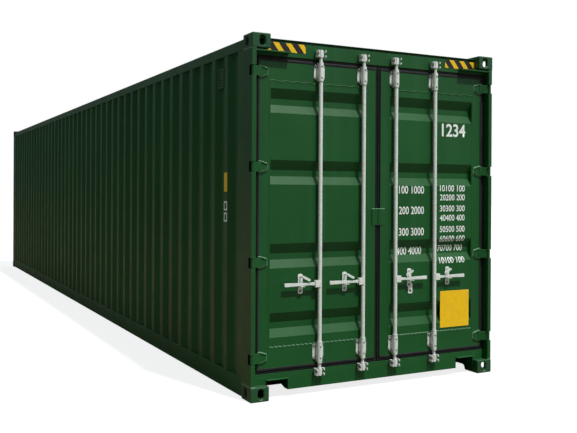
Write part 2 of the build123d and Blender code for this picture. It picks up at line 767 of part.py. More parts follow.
def floor_boards():
    """Two columns of plywood boards with sealed seams between them."""
    edge_y = WALL_Y - RIB_DEPTH - WALL_SHEET - FLOOR_EDGE_GAP
    low_x = FRONT_BEAM_DEPTH - POST_END_X + FLOOR_SEAM
    high_x = DOOR_X - SILL_DEPTH - FLOOR_SEAM
    rows = int((high_x - low_x) // BOARD_LENGTH)
    row_pitch = (high_x - low_x + FLOOR_SEAM) / rows
    boards = []
    for row in range(rows):
        start = low_x + row * row_pitch
        board = block(start, start + row_pitch - FLOOR_SEAM, FLOOR_SEAM / 2, edge_y, FLOOR_FOOT, FLOOR_TOP)
        boards += [board, flip_side(board)]
    return boards


def cross_member(x, y_low, y_high):
    """One channel across the container, with its web at x and its flanges towards the doors."""
    outline = [
        (x, CROSS_FOOT),
        (x + CROSS_FLANGE, CROSS_FOOT),
        (x + CROSS_FLANGE, CROSS_FOOT + CROSS_PLATE),
        (x + CROSS_PLATE, CROSS_FOOT + CROSS_PLATE),
        (x + CROSS_PLATE, FLOOR_FOOT - CROSS_PLATE),
        (x + CROSS_FLANGE, FLOOR_FOOT - CROSS_PLATE),
        (x + CROSS_FLANGE, FLOOR_FOOT),
        (x, FLOOR_FOOT),
    ]
    return prism_y(outline, y_low, y_high)


def cross_members():
    """Full-width channels behind the tunnel and short ones on each side of it."""
    end_y = RAIL_Y - RAIL_PLATE
    tunnel_end_x = TUNNEL_LENGTH - END_X
    side_y = TUNNEL_WIDTH / 2 + TUNNEL_PLATE
    first_x = DOOR_X - SILL_DEPTH - CROSS_FLANGE - CROSS_PITCH / 2
    last_x = -POST_BACK_X
    count = int((first_x - last_x) // CROSS_PITCH) + 1
    members = []
    for number in range(count):
        x = first_x - number * CROSS_PITCH
        if x > tunnel_end_x + TUNNEL_PLATE:
            members.append(cross_member(x, -end_y, end_y))
        elif x + CROSS_FLANGE < tunnel_end_x:
            short = cross_member(x, side_y, end_y)
            members += [short, flip_side(short)]
    return members


def gooseneck_tunnel():
    """The folded steel tunnel under the front of the floor, with bows that carry the floor over it."""
    front_x = FRONT_BEAM_DEPTH - POST_END_X
    end_x = TUNNEL_LENGTH - END_X
    inner_y = TUNNEL_WIDTH / 2
    outer_y = inner_y + TUNNEL_PLATE
    outline = [
        (-outer_y, TUNNEL_SIDE_FOOT),
        (-inner_y, TUNNEL_SIDE_FOOT),
        (-inner_y, TUNNEL_HEIGHT),
        (inner_y, TUNNEL_HEIGHT),
        (inner_y, TUNNEL_SIDE_FOOT),
        (outer_y, TUNNEL_SIDE_FOOT),
        (outer_y, TUNNEL_HEIGHT + TUNNEL_PLATE),
        (-outer_y, TUNNEL_HEIGHT + TUNNEL_PLATE),
    ]
    tunnel = prism_x(outline, front_x, end_x)
    tunnel += block(end_x - TUNNEL_PLATE, end_x, -outer_y, outer_y, TUNNEL_SIDE_FOOT, FLOOR_FOOT)
    bow_count = int((end_x - front_x) // CROSS_PITCH)
    for number in range(bow_count):
        x = front_x + (number + 0.5) * CROSS_PITCH
        tunnel += block(x, x + CROSS_FLANGE, -outer_y, outer_y, TUNNEL_HEIGHT + TUNNEL_PLATE, FLOOR_FOOT)
    return tunnel


def side_vent():
    """The ventilator in a trough of the right side wall, near its door end."""
    trough_x = ((SIDE_RIBS - 1) / 2 - VENT_RIB) * RIB_PITCH
    bed_y = WALL_Y - RIB_DEPTH
    bed_half = (RIB_PITCH - RIB_CREST) / 2 - RIB_SLOPE - VENT_SIDE_GAP
    face_y = WALL_Y - VENT_SETBACK
    outline = [
        (trough_x - bed_half, bed_y),
        (trough_x + bed_half, bed_y),
        (trough_x + VENT_WIDTH / 2, face_y),
        (trough_x - VENT_WIDTH / 2, face_y),
    ]
    vent = prism_z(outline, VENT_FOOT, VENT_TOP)
    slot_low_x = trough_x - VENT_WIDTH / 2 + VENT_SLOT_MARGIN
    slot_high_x = trough_x + VENT_WIDTH / 2 - VENT_SLOT_MARGIN
    pitch = VENT_HEIGHT / (VENT_SLOTS + 1)
    for number in range(VENT_SLOTS):
        low = VENT_FOOT + (number + 0.75) * pitch
        vent -= block(slot_low_x, slot_high_x, face_y - VENT_SLOT_DEPTH, face_y, low, low + pitch / 2)
    return vent


# Door leaves, drawn on the right side

def leaf_frame():
    """The leaf's frame: tubular stiles and channels along the top and bottom, open to the inside."""
    plate = LEAF_PLATE
    frame = block(LEAF_BACK_X, DOOR_X, LEAF_INNER, LEAF_OUTER, LEAF_FOOT, LEAF_TOP)
    frame -= block(LEAF_BACK_X, DOOR_X, PANEL_LOW_Y, PANEL_HIGH_Y, PANEL_FOOT, PANEL_TOP)
    for z_low, z_high in ((LEAF_FOOT, PANEL_FOOT), (PANEL_TOP, LEAF_TOP)):
        frame -= block(
            LEAF_BACK_X, DOOR_X - plate, LEAF_INNER + plate, LEAF_OUTER - plate, z_low + plate, z_high - plate
        )
    for y_low, y_high in ((LEAF_INNER, PANEL_LOW_Y), (PANEL_HIGH_Y, LEAF_OUTER)):
        low_z = PANEL_FOOT - plate
        high_z = PANEL_TOP + plate
        frame -= block(LEAF_BACK_X + plate, DOOR_X - plate, y_low + plate, y_high - plate, low_z, high_z)
    return frame


def pocket_space(level, grow):
    """The space of one pressed pocket of the panel, grown outwards by the sheet for its back."""
    front_y = (PANEL_LOW_Y + POCKET_END_MARGIN - grow, PANEL_HIGH_Y - POCKET_END_MARGIN + grow)
    front_z = (level - POCKET_HEIGHT / 2 - grow, level + POCKET_HEIGHT / 2 + grow)
    back_y = (front_y[0] + POCKET_END_SLOPE, front_y[1] - POCKET_END_SLOPE)
    back_z = (front_z[0] + POCKET_LOWER_SLOPE, front_z[1] - POCKET_UPPER_SLOPE)
    sections = []
    for x, (y_low, y_high), (z_low, z_high) in (
        (DOOR_X, front_y, front_z),
        (DOOR_X - POCKET_DEPTH - grow, back_y, back_z),
    ):
        corners = [(x, y_low, z_low), (x, y_high, z_low), (x, y_high, z_high), (x, y_low, z_high)]
        sections.append(make_face(Polyline(*corners, close=True)))
    return loft(sections, ruled=True)


def leaf_panel():
    """The leaf's flat sheet with four long pockets pressed inwards."""
    panel = block(DOOR_X - PANEL_SHEET, DOOR_X, PANEL_LOW_Y, PANEL_HIGH_Y, PANEL_FOOT, PANEL_TOP)
    for level in POCKET_LEVELS:
        panel += pocket_space(level, PANEL_SHEET)
        panel -= pocket_space(level, 0.0)
    return panel


def leaf_seal():
    """The rubber seal around the leaf, between it and the posts, header, sill and other leaf."""
    x_high = DOOR_X - SEAL_SETBACK
    x_low = x_high - SEAL_DEPTH
    seal = block(
        x_low,
        x_high,
        SEAL_CENTRE_GAP / 2,
        POST_FACE_Y - SEAL_GAP,
        SILL_TOP + SEAL_GAP,
        HEADER_FOOT - SEAL_GAP,
    )
    return seal - block(x_low, x_high, LEAF_INNER, LEAF_OUTER, LEAF_FOOT, LEAF_TOP)


def hinge_blade(level):
    """One forged hinge: a tapered blade with raised rims on the leaf, a bent neck and a knuckle."""
    face_x = DOOR_X + BLADE_THICKNESS
    stations = (
        (BLADE_ROOT, BLADE_ROOT_HEIGHT / 2),
        (LEAF_OUTER - BLADE_MIDDLE_REACH, BLADE_MIDDLE_HEIGHT / 2),
        (LEAF_OUTER - BLADE_REACH, BLADE_TIP_HEIGHT / 2),
    )
    outer = [(y, level + half) for y, half in stations]
    outer += [(y, level - half) for y, half in reversed(stations)]
    inner = [(y, level + half - BLADE_RIM) for y, half in stations]
    inner += [(y, level - half + BLADE_RIM) for y, half in reversed(stations)]
    blade = prism_x(outer, DOOR_X, face_x) - prism_x(inner, DOOR_X + BLADE_WEB, face_x)
    low = level - KNUCKLE_HEIGHT / 2
    high = level + KNUCKLE_HEIGHT / 2
    lean = KNUCKLE_RADIUS * math.sqrt(0.5)
    neck_outline = [
        (DOOR_X, BLADE_ROOT),
        (DOOR_X, BLADE_ROOT - 2 * BLADE_THICKNESS),
        (face_x, BLADE_ROOT - 2 * BLADE_THICKNESS),
        (face_x, BLADE_ROOT - BLADE_THICKNESS),
        (PIN_X, PIN_Y - KNUCKLE_RADIUS),
        (PIN_X, PIN_Y),
        (PIN_X - lean, PIN_Y + lean),
    ]
    knuckle = prism_z(neck_outline, low, high) + rod_z(KNUCKLE_RADIUS, PIN_X, PIN_Y, low, high)
    knuckle -= rod_z(PIN_RADIUS + PIN_CLEARANCE, PIN_X, PIN_Y, low, high)
    return blade + knuckle


def hinge_lug(level):
    """The two lugs in the post's corner with the pin between them."""
    window = hinge_window(level)
    corner = block(
        POST_END_X - HINGE_WINDOW_DEPTH, POST_END_X, POST_FACE_Y, POST_SIDE_Y, level - HEIGHT, level + HEIGHT
    )
    gap_half = KNUCKLE_HEIGHT / 2 + KNUCKLE_END_PLAY
    lugs = (corner & window) - block(0.0, END_X, POST_FACE_Y, SIDE_Y, level - gap_half, level + gap_half)
    pin_half = gap_half + LUG_HEIGHT
    return lugs + rod_z(PIN_RADIUS, PIN_X, PIN_Y, level - pin_half, level + pin_half)


# Locking bars and what holds them, drawn on the right side at y of the bar

def locking_bar(bar_y):
    """A tube with a necked cam at each end, collars at its lower bearing and the hub of its handle."""
    bearing_half = BRACKET_HAT_HEIGHT / 2
    tube_low = BRACKET_LEVELS[0] - bearing_half - COLLAR_GAP - COLLAR_HEIGHT
    tube_high = BRACKET_LEVELS[1] + bearing_half
    bar = rod_z(BAR_RADIUS, BAR_X, bar_y, tube_low, tube_high)
    bar += rod_z(BAR_NECK_RADIUS, BAR_X, bar_y, BAR_FOOT, tube_low)
    bar += rod_z(BAR_NECK_RADIUS, BAR_X, bar_y, tube_high, BAR_TOP)
    for cam_foot in (BAR_FOOT, BAR_TOP - CAM_HEIGHT):
        bar += rod_z(CAM_RADIUS, BAR_X, bar_y, cam_foot, cam_foot + CAM_HEIGHT)
        lobes = block(
            BAR_X - CAM_LOBE_WIDTH / 2,
            BAR_X + CAM_LOBE_WIDTH / 2,
            bar_y - CAM_LOBE,
            bar_y + CAM_LOBE,
            cam_foot + CAM_SHOULDER,
            cam_foot + CAM_HEIGHT - CAM_SHOULDER,
        )
        bar += lobes & rod_z(CAM_LOBE, BAR_X, bar_y, cam_foot, cam_foot + CAM_HEIGHT)
    collar_foot = BRACKET_LEVELS[0] + bearing_half + COLLAR_GAP
    bar += rod_z(COLLAR_RADIUS, BAR_X, bar_y, collar_foot, collar_foot + COLLAR_HEIGHT)
    bar += rod_z(COLLAR_RADIUS, BAR_X, bar_y, tube_low, tube_low + COLLAR_HEIGHT)
    cheek = HANDLE_THICKNESS / 2 + HUB_PLAY
    hub_low = HANDLE_LEVEL - HUB_HEIGHT / 2
    hub_high = HANDLE_LEVEL + HUB_HEIGHT / 2
    hub_end = bar_y + HUB_WIDTH + HUB_CHEEK
    hub_mouth = bar_y + BAR_RADIUS + HUB_PLAY
    hub = block(HANDLE_X - cheek - HUB_CHEEK, HANDLE_X + cheek + HUB_CHEEK, bar_y, hub_end, hub_low, hub_high)
    hub -= block(HANDLE_X - cheek, HANDLE_X + cheek, hub_mouth, hub_end, hub_low, hub_high)
    bar += hub
    bar += rod_x(
        HUB_BOLT_RADIUS,
        HANDLE_X - cheek - HUB_CHEEK,
        HANDLE_X + cheek + HUB_CHEEK + HUB_PLAY,
        bar_y + HUB_OFFSET,
        HANDLE_LEVEL,
    )
    return bar - rod_z(BAR_NECK_RADIUS - BAR_WALL, BAR_X, bar_y, BAR_FOOT, BAR_TOP)


def bar_handle(bar_y):
    """The flat handle that hangs in the hub, narrow at its neck and wide at its squared grip."""
    bolt_y = bar_y + HUB_OFFSET
    neck_y = bolt_y + HANDLE_NECK_REACH
    tip_y = bar_y + HANDLE_REACH
    root_half = HANDLE_ROOT_HEIGHT / 2
    neck_half = HANDLE_NECK_HEIGHT / 2
    grip_half = HANDLE_GRIP_HEIGHT / 2
    corner = HANDLE_GRIP_CORNER
    x_low = HANDLE_X - HANDLE_THICKNESS / 2
    x_high = HANDLE_X + HANDLE_THICKNESS / 2
    stations = (
        (bolt_y, root_half),
        (neck_y, neck_half),
        (tip_y - corner, grip_half),
        (tip_y, grip_half - corner),
    )
    outline = [(y, HANDLE_LEVEL + half) for y, half in stations]
    outline += [(y, HANDLE_LEVEL - half) for y, half in reversed(stations)]
    handle = prism_x(outline, x_low, x_high)
    handle += rod_x(root_half, x_low, x_high, bolt_y, HANDLE_LEVEL)
    return handle - rod_x(HUB_BOLT_RADIUS + HUB_BOLT_CLEARANCE, x_low, x_high, bolt_y, HANDLE_LEVEL)


def cam_keeper(bar_y, cam_foot):
    """A plate with an upper and a lower pair of curved horns on each side of a cam."""
    low = cam_foot + (CAM_HEIGHT - KEEPER_HEIGHT) / 2
    high = low + KEEPER_HEIGHT
    plate = block(
        DOOR_X, DOOR_X + KEEPER_PLATE, bar_y - KEEPER_WIDTH / 2, bar_y + KEEPER_WIDTH / 2, low, high
    )
    horns = rod_z(HORN_OUTER, BAR_X, bar_y, low, high) - rod_z(HORN_INNER, BAR_X, bar_y, low, high)
    mouth_half = CAM_LOBE + HORN_MOUTH_GAP
    horns -= block(BAR_X, END_X, bar_y - mouth_half, bar_y + mouth_half, low, high)
    horns &= block(DOOR_X, END_X - END_INSET, bar_y - HORN_OUTER, bar_y + HORN_OUTER, low, high)
    gap_low = low + HORN_HEIGHT
    gap_high = high - HORN_HEIGHT
    horns -= block(DOOR_X + KEEPER_PLATE, END_X, bar_y - HORN_OUTER, bar_y + HORN_OUTER, gap_low, gap_high)
    return plate + horns


def bar_bracket(bar_y, level):
    """A strap bolted over the bar by a round-cornered flange on each side."""
    low = level - BRACKET_HEIGHT / 2
    high = level + BRACKET_HEIGHT / 2
    hat_low = level - BRACKET_HAT_HEIGHT / 2
    hat_high = level + BRACKET_HAT_HEIGHT / 2
    bore = BAR_RADIUS + BEARING_CLEARANCE
    strap = bore + BRACKET_PLATE
    half = BRACKET_WIDTH / 2
    corner = BRACKET_CORNER
    outline = []
    for across, rise in ((1, 1), (-1, 1), (-1, -1), (1, -1)):
        wide = (bar_y + across * half, level + rise * (BRACKET_HEIGHT / 2 - corner))
        tall = (bar_y + across * (half - corner), level + rise * BRACKET_HEIGHT / 2)
        outline += [wide, tall] if across == rise else [tall, wide]
    bracket = prism_x(outline, DOOR_X, DOOR_X + BRACKET_PLATE)
    bracket += block(DOOR_X, BAR_X, bar_y - strap, bar_y + strap, hat_low, hat_high)
    bracket += rod_z(strap, BAR_X, bar_y, hat_low, hat_high)
    bracket -= block(DOOR_X, BAR_X, bar_y - bore, bar_y + bore, hat_low, hat_high)
    return bracket - rod_z(bore, BAR_X, bar_y, hat_low, hat_high)


def handle_retainer(bar_y, has_seal_plate):
    """The plate behind the handle, with a shelf under it and a stud for its catch."""
    middle_y = bar_y + RETAINER_OFFSET
    low_y = middle_y - RETAINER_WIDTH / 2
    high_y = middle_y + RETAINER_WIDTH / 2
    face_x = DOOR_X + RETAINER_PLATE
    shelf_top = HANDLE_LEVEL - HANDLE_ROOT_HEIGHT / 2 - SHELF_GAP
    retainer = block(DOOR_X, face_x, low_y, high_y, RETAINER_FOOT, RETAINER_TOP)
    retainer = fillet(retainer.edges().filter_by(Axis.X), RETAINER_CORNER)
    retainer += block(
        DOOR_X, DOOR_X + RETAINER_SHELF_REACH, low_y, high_y, shelf_top - RETAINER_PLATE, shelf_top
    )
    stud_end = DOOR_X + CATCH_STANDOFF + CATCH_THICKNESS + CATCH_PLAY
    boss_end = DOOR_X + CATCH_STANDOFF - CATCH_PLAY
    retainer += rod_x(CATCH_BOSS_RADIUS, DOOR_X, boss_end, middle_y, CATCH_PIVOT_LEVEL)
    retainer += rod_x(CATCH_STUD_RADIUS, DOOR_X, stud_end, middle_y, CATCH_PIVOT_LEVEL)
    retainer += rod_x(CATCH_BOSS_RADIUS, stud_end, stud_end + CATCH_HEAD_HEIGHT, middle_y, CATCH_PIVOT_LEVEL)
    if has_seal_plate:
        half = SEAL_PLATE_WIDTH / 2
        plate_y = middle_y + SEAL_PLATE_SHIFT
        plate_top = RETAINER_FOOT + SEAL_PLATE_LAP
        seal_plate = block(DOOR_X, face_x, plate_y - half, plate_y + half, SEAL_PLATE_FOOT, plate_top)
        seal_plate = fillet(seal_plate.edges().filter_by(Axis.X), SEAL_PLATE_HOLE)
        seal_plate -= rod_x(SEAL_PLATE_HOLE, DOOR_X, face_x, plate_y, SEAL_PLATE_FOOT + half)
        retainer += seal_plate
    return retainer


def handle_catch(bar_y):
    """The flat catch on its stud, turned up clear of the handle."""
    x_low = DOOR_X + CATCH_STANDOFF
    x_high = x_low + CATCH_THICKNESS
    half = CATCH_WIDTH / 2
    catch = block(x_low, x_high, -half, half, half - CATCH_LENGTH, 0.0)
    catch += rod_x(half, x_low, x_high, 0.0, 0.0)
    catch += rod_x(half, x_low, x_high, 0.0, half - CATCH_LENGTH)
    catch -= rod_x(CATCH_STUD_RADIUS + PIN_CLEARANCE, x_low, x_high, 0.0, 0.0)
    return Pos(0, bar_y + RETAINER_OFFSET, CATCH_PIVOT_LEVEL) * Rot(-CATCH_ANGLE, 0, 0) * catch


def cover_plate(width):
    """Half of the plate over the centre gap, on the right leaf's frame."""
    return block(DOOR_X, DOOR_X + COVER_PLATE, COVER_GAP / 2, width, COVER_FOOT, COVER_TOP)


def save_frame():
    """Write the pieces that stay still."""
    save("bottom_corner_castings", *four_corners(casting(0.0, False)))
    save("top_corner_castings", *four_corners(casting(CASTING_FOOT_TOP, True)))
    save("top_side_rails", top_rail(), flip_side(top_rail()))
    save("bottom_side_rails", bottom_rail(), flip_side(bottom_rail()))
    save("front_posts", flip_end(front_post()), flip_end(flip_side(front_post())))
    save("front_top_rail", front_top_rail())
    save("front_sill", front_sill())
    save("front_wall", front_wall())
    save("roof_panel", roof())
    save("roof_corner_plates", *four_corners(roof_corner_plate()))
    save("floor_boards", *floor_boards())
    save("cross_members", *cross_members())
    save("gooseneck_tunnel", gooseneck_tunnel())
    save("door_header", door_header())
    save("door_sill", *door_sill())
    save("side_ventilators", side_vent(), flip_side(side_vent()))
    keepers = [cam_keeper(bar_y, foot) for bar_y in BAR_OFFSETS for foot in (BAR_FOOT, BAR_TOP - CAM_HEIGHT)]
    save("cam_keepers", *keepers, *[flip_side(keeper) for keeper in keepers])
    lugs = [hinge_lug(level) for level in HINGE_LEVELS]
    save("hinge_lugs", *lugs, *[flip_side(lug) for lug in lugs])
    for side in ("left", "right"):
        save(f"{side}_door_post", on_side(door_post(), side))
        save(f"{side}_side_wall", on_side(side_wall(), side))


def save_leaf(side):
    """Write the pieces of one door leaf and the lock gear on it."""
    save(f"{side}_leaf_frame", on_side(leaf_frame(), side))
    save(f"{side}_leaf_panel", on_side(leaf_panel(), side))
    save(f"{side}_leaf_seal", on_side(leaf_seal(), side))
    save(f"{side}_leaf_hinges", *[on_side(hinge_blade(level), side) for level in HINGE_LEVELS])
    brackets = [bar_bracket(bar_y, level) for bar_y in BAR_OFFSETS for level in BRACKET_LEVELS]
    save(f"{side}_bar_brackets", *[on_side(bracket, side) for bracket in brackets])
    outer_y, inner_y = BAR_OFFSETS
    retainers = [handle_retainer(outer_y, False), handle_retainer(inner_y, side == "right")]
    save(f"{side}_handle_retainers", *[on_side(retainer, side) for retainer in retainers])
    cover_width = COVER_RIGHT if side == "right" else COVER_LEFT
    save(f"{side}_cover_plate", on_side(cover_plate(cover_width), side))
    for place, bar_y in (("outer", outer_y), ("inner", inner_y)):
        save(f"{side}_{place}_bar", on_side(locking_bar(bar_y), side))
        save(f"{side}_{place}_handle", on_side(bar_handle(bar_y), side))
        save(f"{side}_{place}_catch", on_side(handle_catch(bar_y), side))


os.makedirs("parts", exist_ok=True)
save_frame()
for leaf_side in ("left", "right"):
    save_leaf(leaf_side)
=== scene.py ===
import json
import math
import random

import bmesh
import bpy
from mathutils import Matrix, Vector


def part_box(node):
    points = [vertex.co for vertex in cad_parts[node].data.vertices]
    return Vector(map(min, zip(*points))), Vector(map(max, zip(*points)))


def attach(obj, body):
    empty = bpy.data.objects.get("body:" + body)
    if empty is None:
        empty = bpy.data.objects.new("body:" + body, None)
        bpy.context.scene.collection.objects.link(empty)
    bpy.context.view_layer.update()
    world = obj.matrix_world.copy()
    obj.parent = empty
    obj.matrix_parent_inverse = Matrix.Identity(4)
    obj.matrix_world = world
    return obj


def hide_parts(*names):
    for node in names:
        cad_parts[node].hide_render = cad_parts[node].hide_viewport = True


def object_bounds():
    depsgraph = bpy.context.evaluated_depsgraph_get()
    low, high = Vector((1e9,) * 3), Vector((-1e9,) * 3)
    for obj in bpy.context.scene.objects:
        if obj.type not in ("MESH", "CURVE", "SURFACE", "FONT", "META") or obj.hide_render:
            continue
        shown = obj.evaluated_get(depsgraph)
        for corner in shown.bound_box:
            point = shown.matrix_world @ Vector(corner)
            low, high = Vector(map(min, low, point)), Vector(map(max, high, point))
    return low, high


# The looks of a 40 ft high-cube shipping container: camera, light, paint, gear, marks and small parts.
# Metres, in the frame of the solids: doors at +X, left -Y and right +Y for someone facing them, Z up.

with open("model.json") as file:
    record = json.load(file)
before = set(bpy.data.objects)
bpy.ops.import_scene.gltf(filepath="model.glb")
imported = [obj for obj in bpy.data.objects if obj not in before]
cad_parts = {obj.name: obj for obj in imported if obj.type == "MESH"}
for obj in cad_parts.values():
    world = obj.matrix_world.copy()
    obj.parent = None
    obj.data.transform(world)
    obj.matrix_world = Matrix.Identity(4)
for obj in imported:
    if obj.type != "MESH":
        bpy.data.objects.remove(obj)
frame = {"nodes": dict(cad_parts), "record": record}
NODES = frame["nodes"]
CAD_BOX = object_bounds()

# Camera, at the photograph's viewing angle
CAMERA_PLACE = Vector((11.637, -3.789, 1.659))
CAMERA_AZIMUTH = math.radians(62.43)
CAMERA_ELEVATION = math.radians(0.077)
CAMERA_ROLL = math.radians(0.30)
FOCAL_PIXELS = 785.0
SHIFT_UP = -0.0430
PHOTO_WIDTH = 577.0
SENSOR_WIDTH = 36.0
CLIP_END = 200.0

# Light, with the SHADE values that weaken the sky on the left, at its near corner and in its reflections
SUN_DIRECTION = Vector((1.0, 0.28, 2.0))
SUN_STRENGTH = 3.5
SUN_ANGLE = math.radians(2.0)
SUN_COLOUR = (1.0, 0.985, 0.95)
SKY_TOP = (0.95, 1.15, 1.28)
SKY_SIDE = (0.33, 0.38, 0.40)
SKY_FOOT = (0.16, 0.15, 0.12)
SHADE_SIDE_LIGHT = 0.52
SHADE_CORNER_LIGHT = 0.12
SHADE_GLOSS = 0.35
FLOOR_REACH = 60.0
FLOOR_DROP = 0.001
FLOOR_GREY = (0.20, 0.20, 0.20)
FLOOR_GLOW = 0.82
FLOOR_BOUNCE = (0.17, 0.15, 0.11)
PURE_WHITE = (1.0, 1.0, 1.0)

# Paint and metal colours, linear
GREEN = (0.0080, 0.091, 0.0180)
# Paler green for streaks and specks of wear, and at the edges for wear and a painted highlight
GREEN_WEAR_AND_HIGHLIGHT = (0.040, 0.135, 0.060)
# Much paler green for weld beads: dust, and a painted highlight for beads that catch the light
WELD_DUST_AND_HIGHLIGHT_GREEN = (0.130, 0.270, 0.160)
WELD_WEAR_AND_HIGHLIGHT_GREEN = (0.20, 0.34, 0.23)
CAST_GREEN = (0.018, 0.082, 0.030)
DUST = (0.16, 0.15, 0.12)
# Road dust on the low side crests, also a painted reflection of the brown ground, and the heights where it is
# none and full
ROAD_DUST_AND_REFLECTION = (0.12, 0.08, 0.02)
ROAD_DUST_AND_REFLECTION_NONE_Z = 2.1
ROAD_DUST_AND_REFLECTION_FULL_Z = 0.7
PRIMER = (0.10, 0.055, 0.04)
GALVANISED = (0.80, 0.83, 0.80)
# Bolts in zinc at a third of its brightness: weathering, and painted shade that stands in for the bolts'
# shadows
BOLT_ZINC_WITH_PAINTED_SHADE = tuple(0.35 * part for part in GALVANISED)
ZINC_STAIN = (0.30, 0.25, 0.19)
# Painted shade, laid into the gear's crevices and the gaps between its parts
GEAR_CREVICE_SHADE = (0.055, 0.052, 0.045)
RUBBER = (0.010, 0.011, 0.012)
RUBBER_CHALK = (0.10, 0.105, 0.10)
PLYWOOD = (0.30, 0.17, 0.085)
PLYWOOD_DARK = (0.17, 0.09, 0.045)
PLYWOOD_PALE = (0.36, 0.22, 0.12)
PLYWOOD_SCUFF = (0.12, 0.08, 0.055)
UNDERCOAT = (0.022, 0.024, 0.022)
# Paler undercoat for wear, and at the edges also a painted highlight
UNDERCOAT_WEAR_AND_HIGHLIGHT = (0.06, 0.055, 0.05)
YELLOW = (0.93, 0.55, 0.006)
BLACK = (0.012, 0.012, 0.012)
WHITE = (0.86, 0.89, 0.86)

# Places read from the solids
LEAF_FACE_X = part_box("left_leaf_frame")[1].x
LEAF_BACK_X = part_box("left_leaf_frame")[0].x
HAT_FRONT_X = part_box("left_bar_brackets")[1].x
CREST_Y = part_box("right_side_wall")[1].y
RAIL_TOP_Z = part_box("bottom_side_rails")[1].z
POST_BACK_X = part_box("left_door_post")[0].x

# Directions
OUT = Vector((1.0, 0.0, 0.0))
INWARD = Vector((-1.0, 0.0, 0.0))
UP = Vector((0.0, 0.0, 1.0))
SIDES = {"left": -1.0, "right": 1.0}

# Gear on the leaves: bars and brackets, with bolt places as (across, up) from a bracket's middle
BAR_OFFSETS = {"outer": 0.585, "inner": 0.165}
BRACKET_LEVELS = (0.340, 2.630)
BRACKET_BOLTS = ((-0.0365, -0.050), (0.0365, -0.050), (0.0365, 0.050), (-0.0365, 0.050))
HAT_STUD_RISE = 0.046
HAT_STUD_SUNK = 0.0018
RETAINER_OFFSET = 0.167
RETAINER_BOLT_Z = 0.843
GEAR_PLATE_THICKNESS = 0.005

# The leaf's sheet and its four pressed pockets
PANEL_Y = (0.116, 1.035)
PANEL_Z = (0.408, 2.536)
POCKET_SHARES = (0.082, 0.342, 0.657, 0.926)
POCKET_HALF = 0.098
POCKET_BED = (-0.032, 0.018)
POCKET_DEPTH = 0.038

# Castings, header and hinge blades, with blade stations as (y, half height)
CASTING_INNER_Y = 1.057
CASTING_BACK_X = 5.918
CASTING_HEIGHT = 0.118
HEADER_SETBACK = 0.018
HEADER_LIP_REACH = 0.005
HEADER_LIP_HEIGHT = 0.005
HEADER_LIP_CHAMFER = 0.0012
HINGE_LEVELS = (0.332, 1.089, 1.846, 2.603)
BLADE_STATIONS = ((1.136, 0.047), (1.100, 0.040), (1.056, 0.025))

# Welds
FOOT_WELD_PITCH = 0.040
FOOT_WELD_LENGTH = 0.031
FOOT_WELD_RISE = 0.0035
POST_WELD_WIDTH = 0.036
RAIL_WELD_FOOT = 0.014
WELD_END_GAP = 0.006
WELD_SMOOTH = math.radians(60.0)
WELD_TURNS = (0.0, 0.25, 0.5, 0.75, 1.0)
WELD_FLATNESS = 0.55

# The seal's lip over the leaf's edge: share of the lip's width inwards, rise above the leaf's face in mm
LIP_PROFILE = ((0.0, -0.2), (1.0, -0.2), (1.0, 1.2), (0.93, 2.6), (0.80, 3.4), (0.35, 3.8), (0.05, 3.2))
SEAL_LIP = 0.016
SEAL_CENTRE_LIP = 0.003

# The seal's outline from the leaf's edge outwards: share of the gap, depth behind its front in mm
SEAL_PROFILE = (
    (0.10, 0.0), (0.22, 0.3), (0.30, 4.0), (0.38, 5.5), (0.46, 3.0), (0.56, 0.6), (0.68, 0.0),
    (0.80, 0.8), (0.90, 3.2), (0.97, 7.0), (1.00, 11.0), (0.97, 15.0), (0.90, 17.5), (0.80, 19.0),
    (0.84, 22.0), (0.93, 24.0), (1.00, 26.5), (0.97, 29.0), (0.88, 30.0), (0.00, 30.0),
)
MM_PER_M = 1000.0

# The seal's slight wave in depth, and its steps along a level and an upright side
SEAL_WAVE = 0.0008
SEAL_STEPS = (10, 22)
SEAL_SMOOTH = math.radians(32.0)

# The strips that hold the seal, and their rivets
STRIP_INSET = 0.006
STRIP_WIDTH = 0.024
STRIP_THICKNESS = 0.002
STRIP_CHAMFER = 0.0005
RIVET_PITCH = 0.165
RIVET_END_GAP = 0.05

# Floor screws: distances from the middle line, and pitch along the floor
SCREW_COLUMNS = (0.06, 0.30, 0.54, 0.78, 1.02, 1.13)
SCREW_PITCH = 0.30
SCREW_END_GAP = 0.10

# Header stripes: the field's y span on each side, and the bars' width, pitch and sideways lean
STRIPE_SPANS = {"left": (-CASTING_INNER_Y, -0.712), "right": (0.719, CASTING_INNER_Y)}
STRIPE_FOOT = 2.772
STRIPE_TOP = 2.844
STRIPE_PITCH = 0.115
STRIPE_WIDTH = 0.052
STRIPE_LEAN = 0.056
STRIPE_START = 0.012
STRIPE_BACKING_LIFT = 0.0006
STRIPE_BAR_LIFT = 0.0011

# Numerals on the right leaf: y spans, z spans or feet, and how far the strokes are thickened
BIG_NUMBER_Y = (0.686, 0.954)
BIG_NUMBER_Z = (2.152, 2.268)
LEFT_COLUMN_Y = (0.222, 0.491)
LEFT_COLUMN_ROWS = (("100 1000", 1.638), ("200 2000", 1.458), ("300 3000", 1.270), ("400 4000", 1.101))
LEFT_COLUMN_HEIGHT = 0.068
RIGHT_COLUMN_Y = (0.668, 0.952)
RIGHT_COLUMN_FEET = (1.659, 1.578, 1.479, 1.395, 1.293, 1.207, 1.121, 1.013)
RIGHT_COLUMN_HEIGHT = 0.055
RIGHT_COLUMN_DIGITS = 7
BOLD_STROKE = 0.020
PLAIN_STROKE = 0.012
TEXT_LIFT = 0.0008
TEXT_CURVE_STEPS = 6

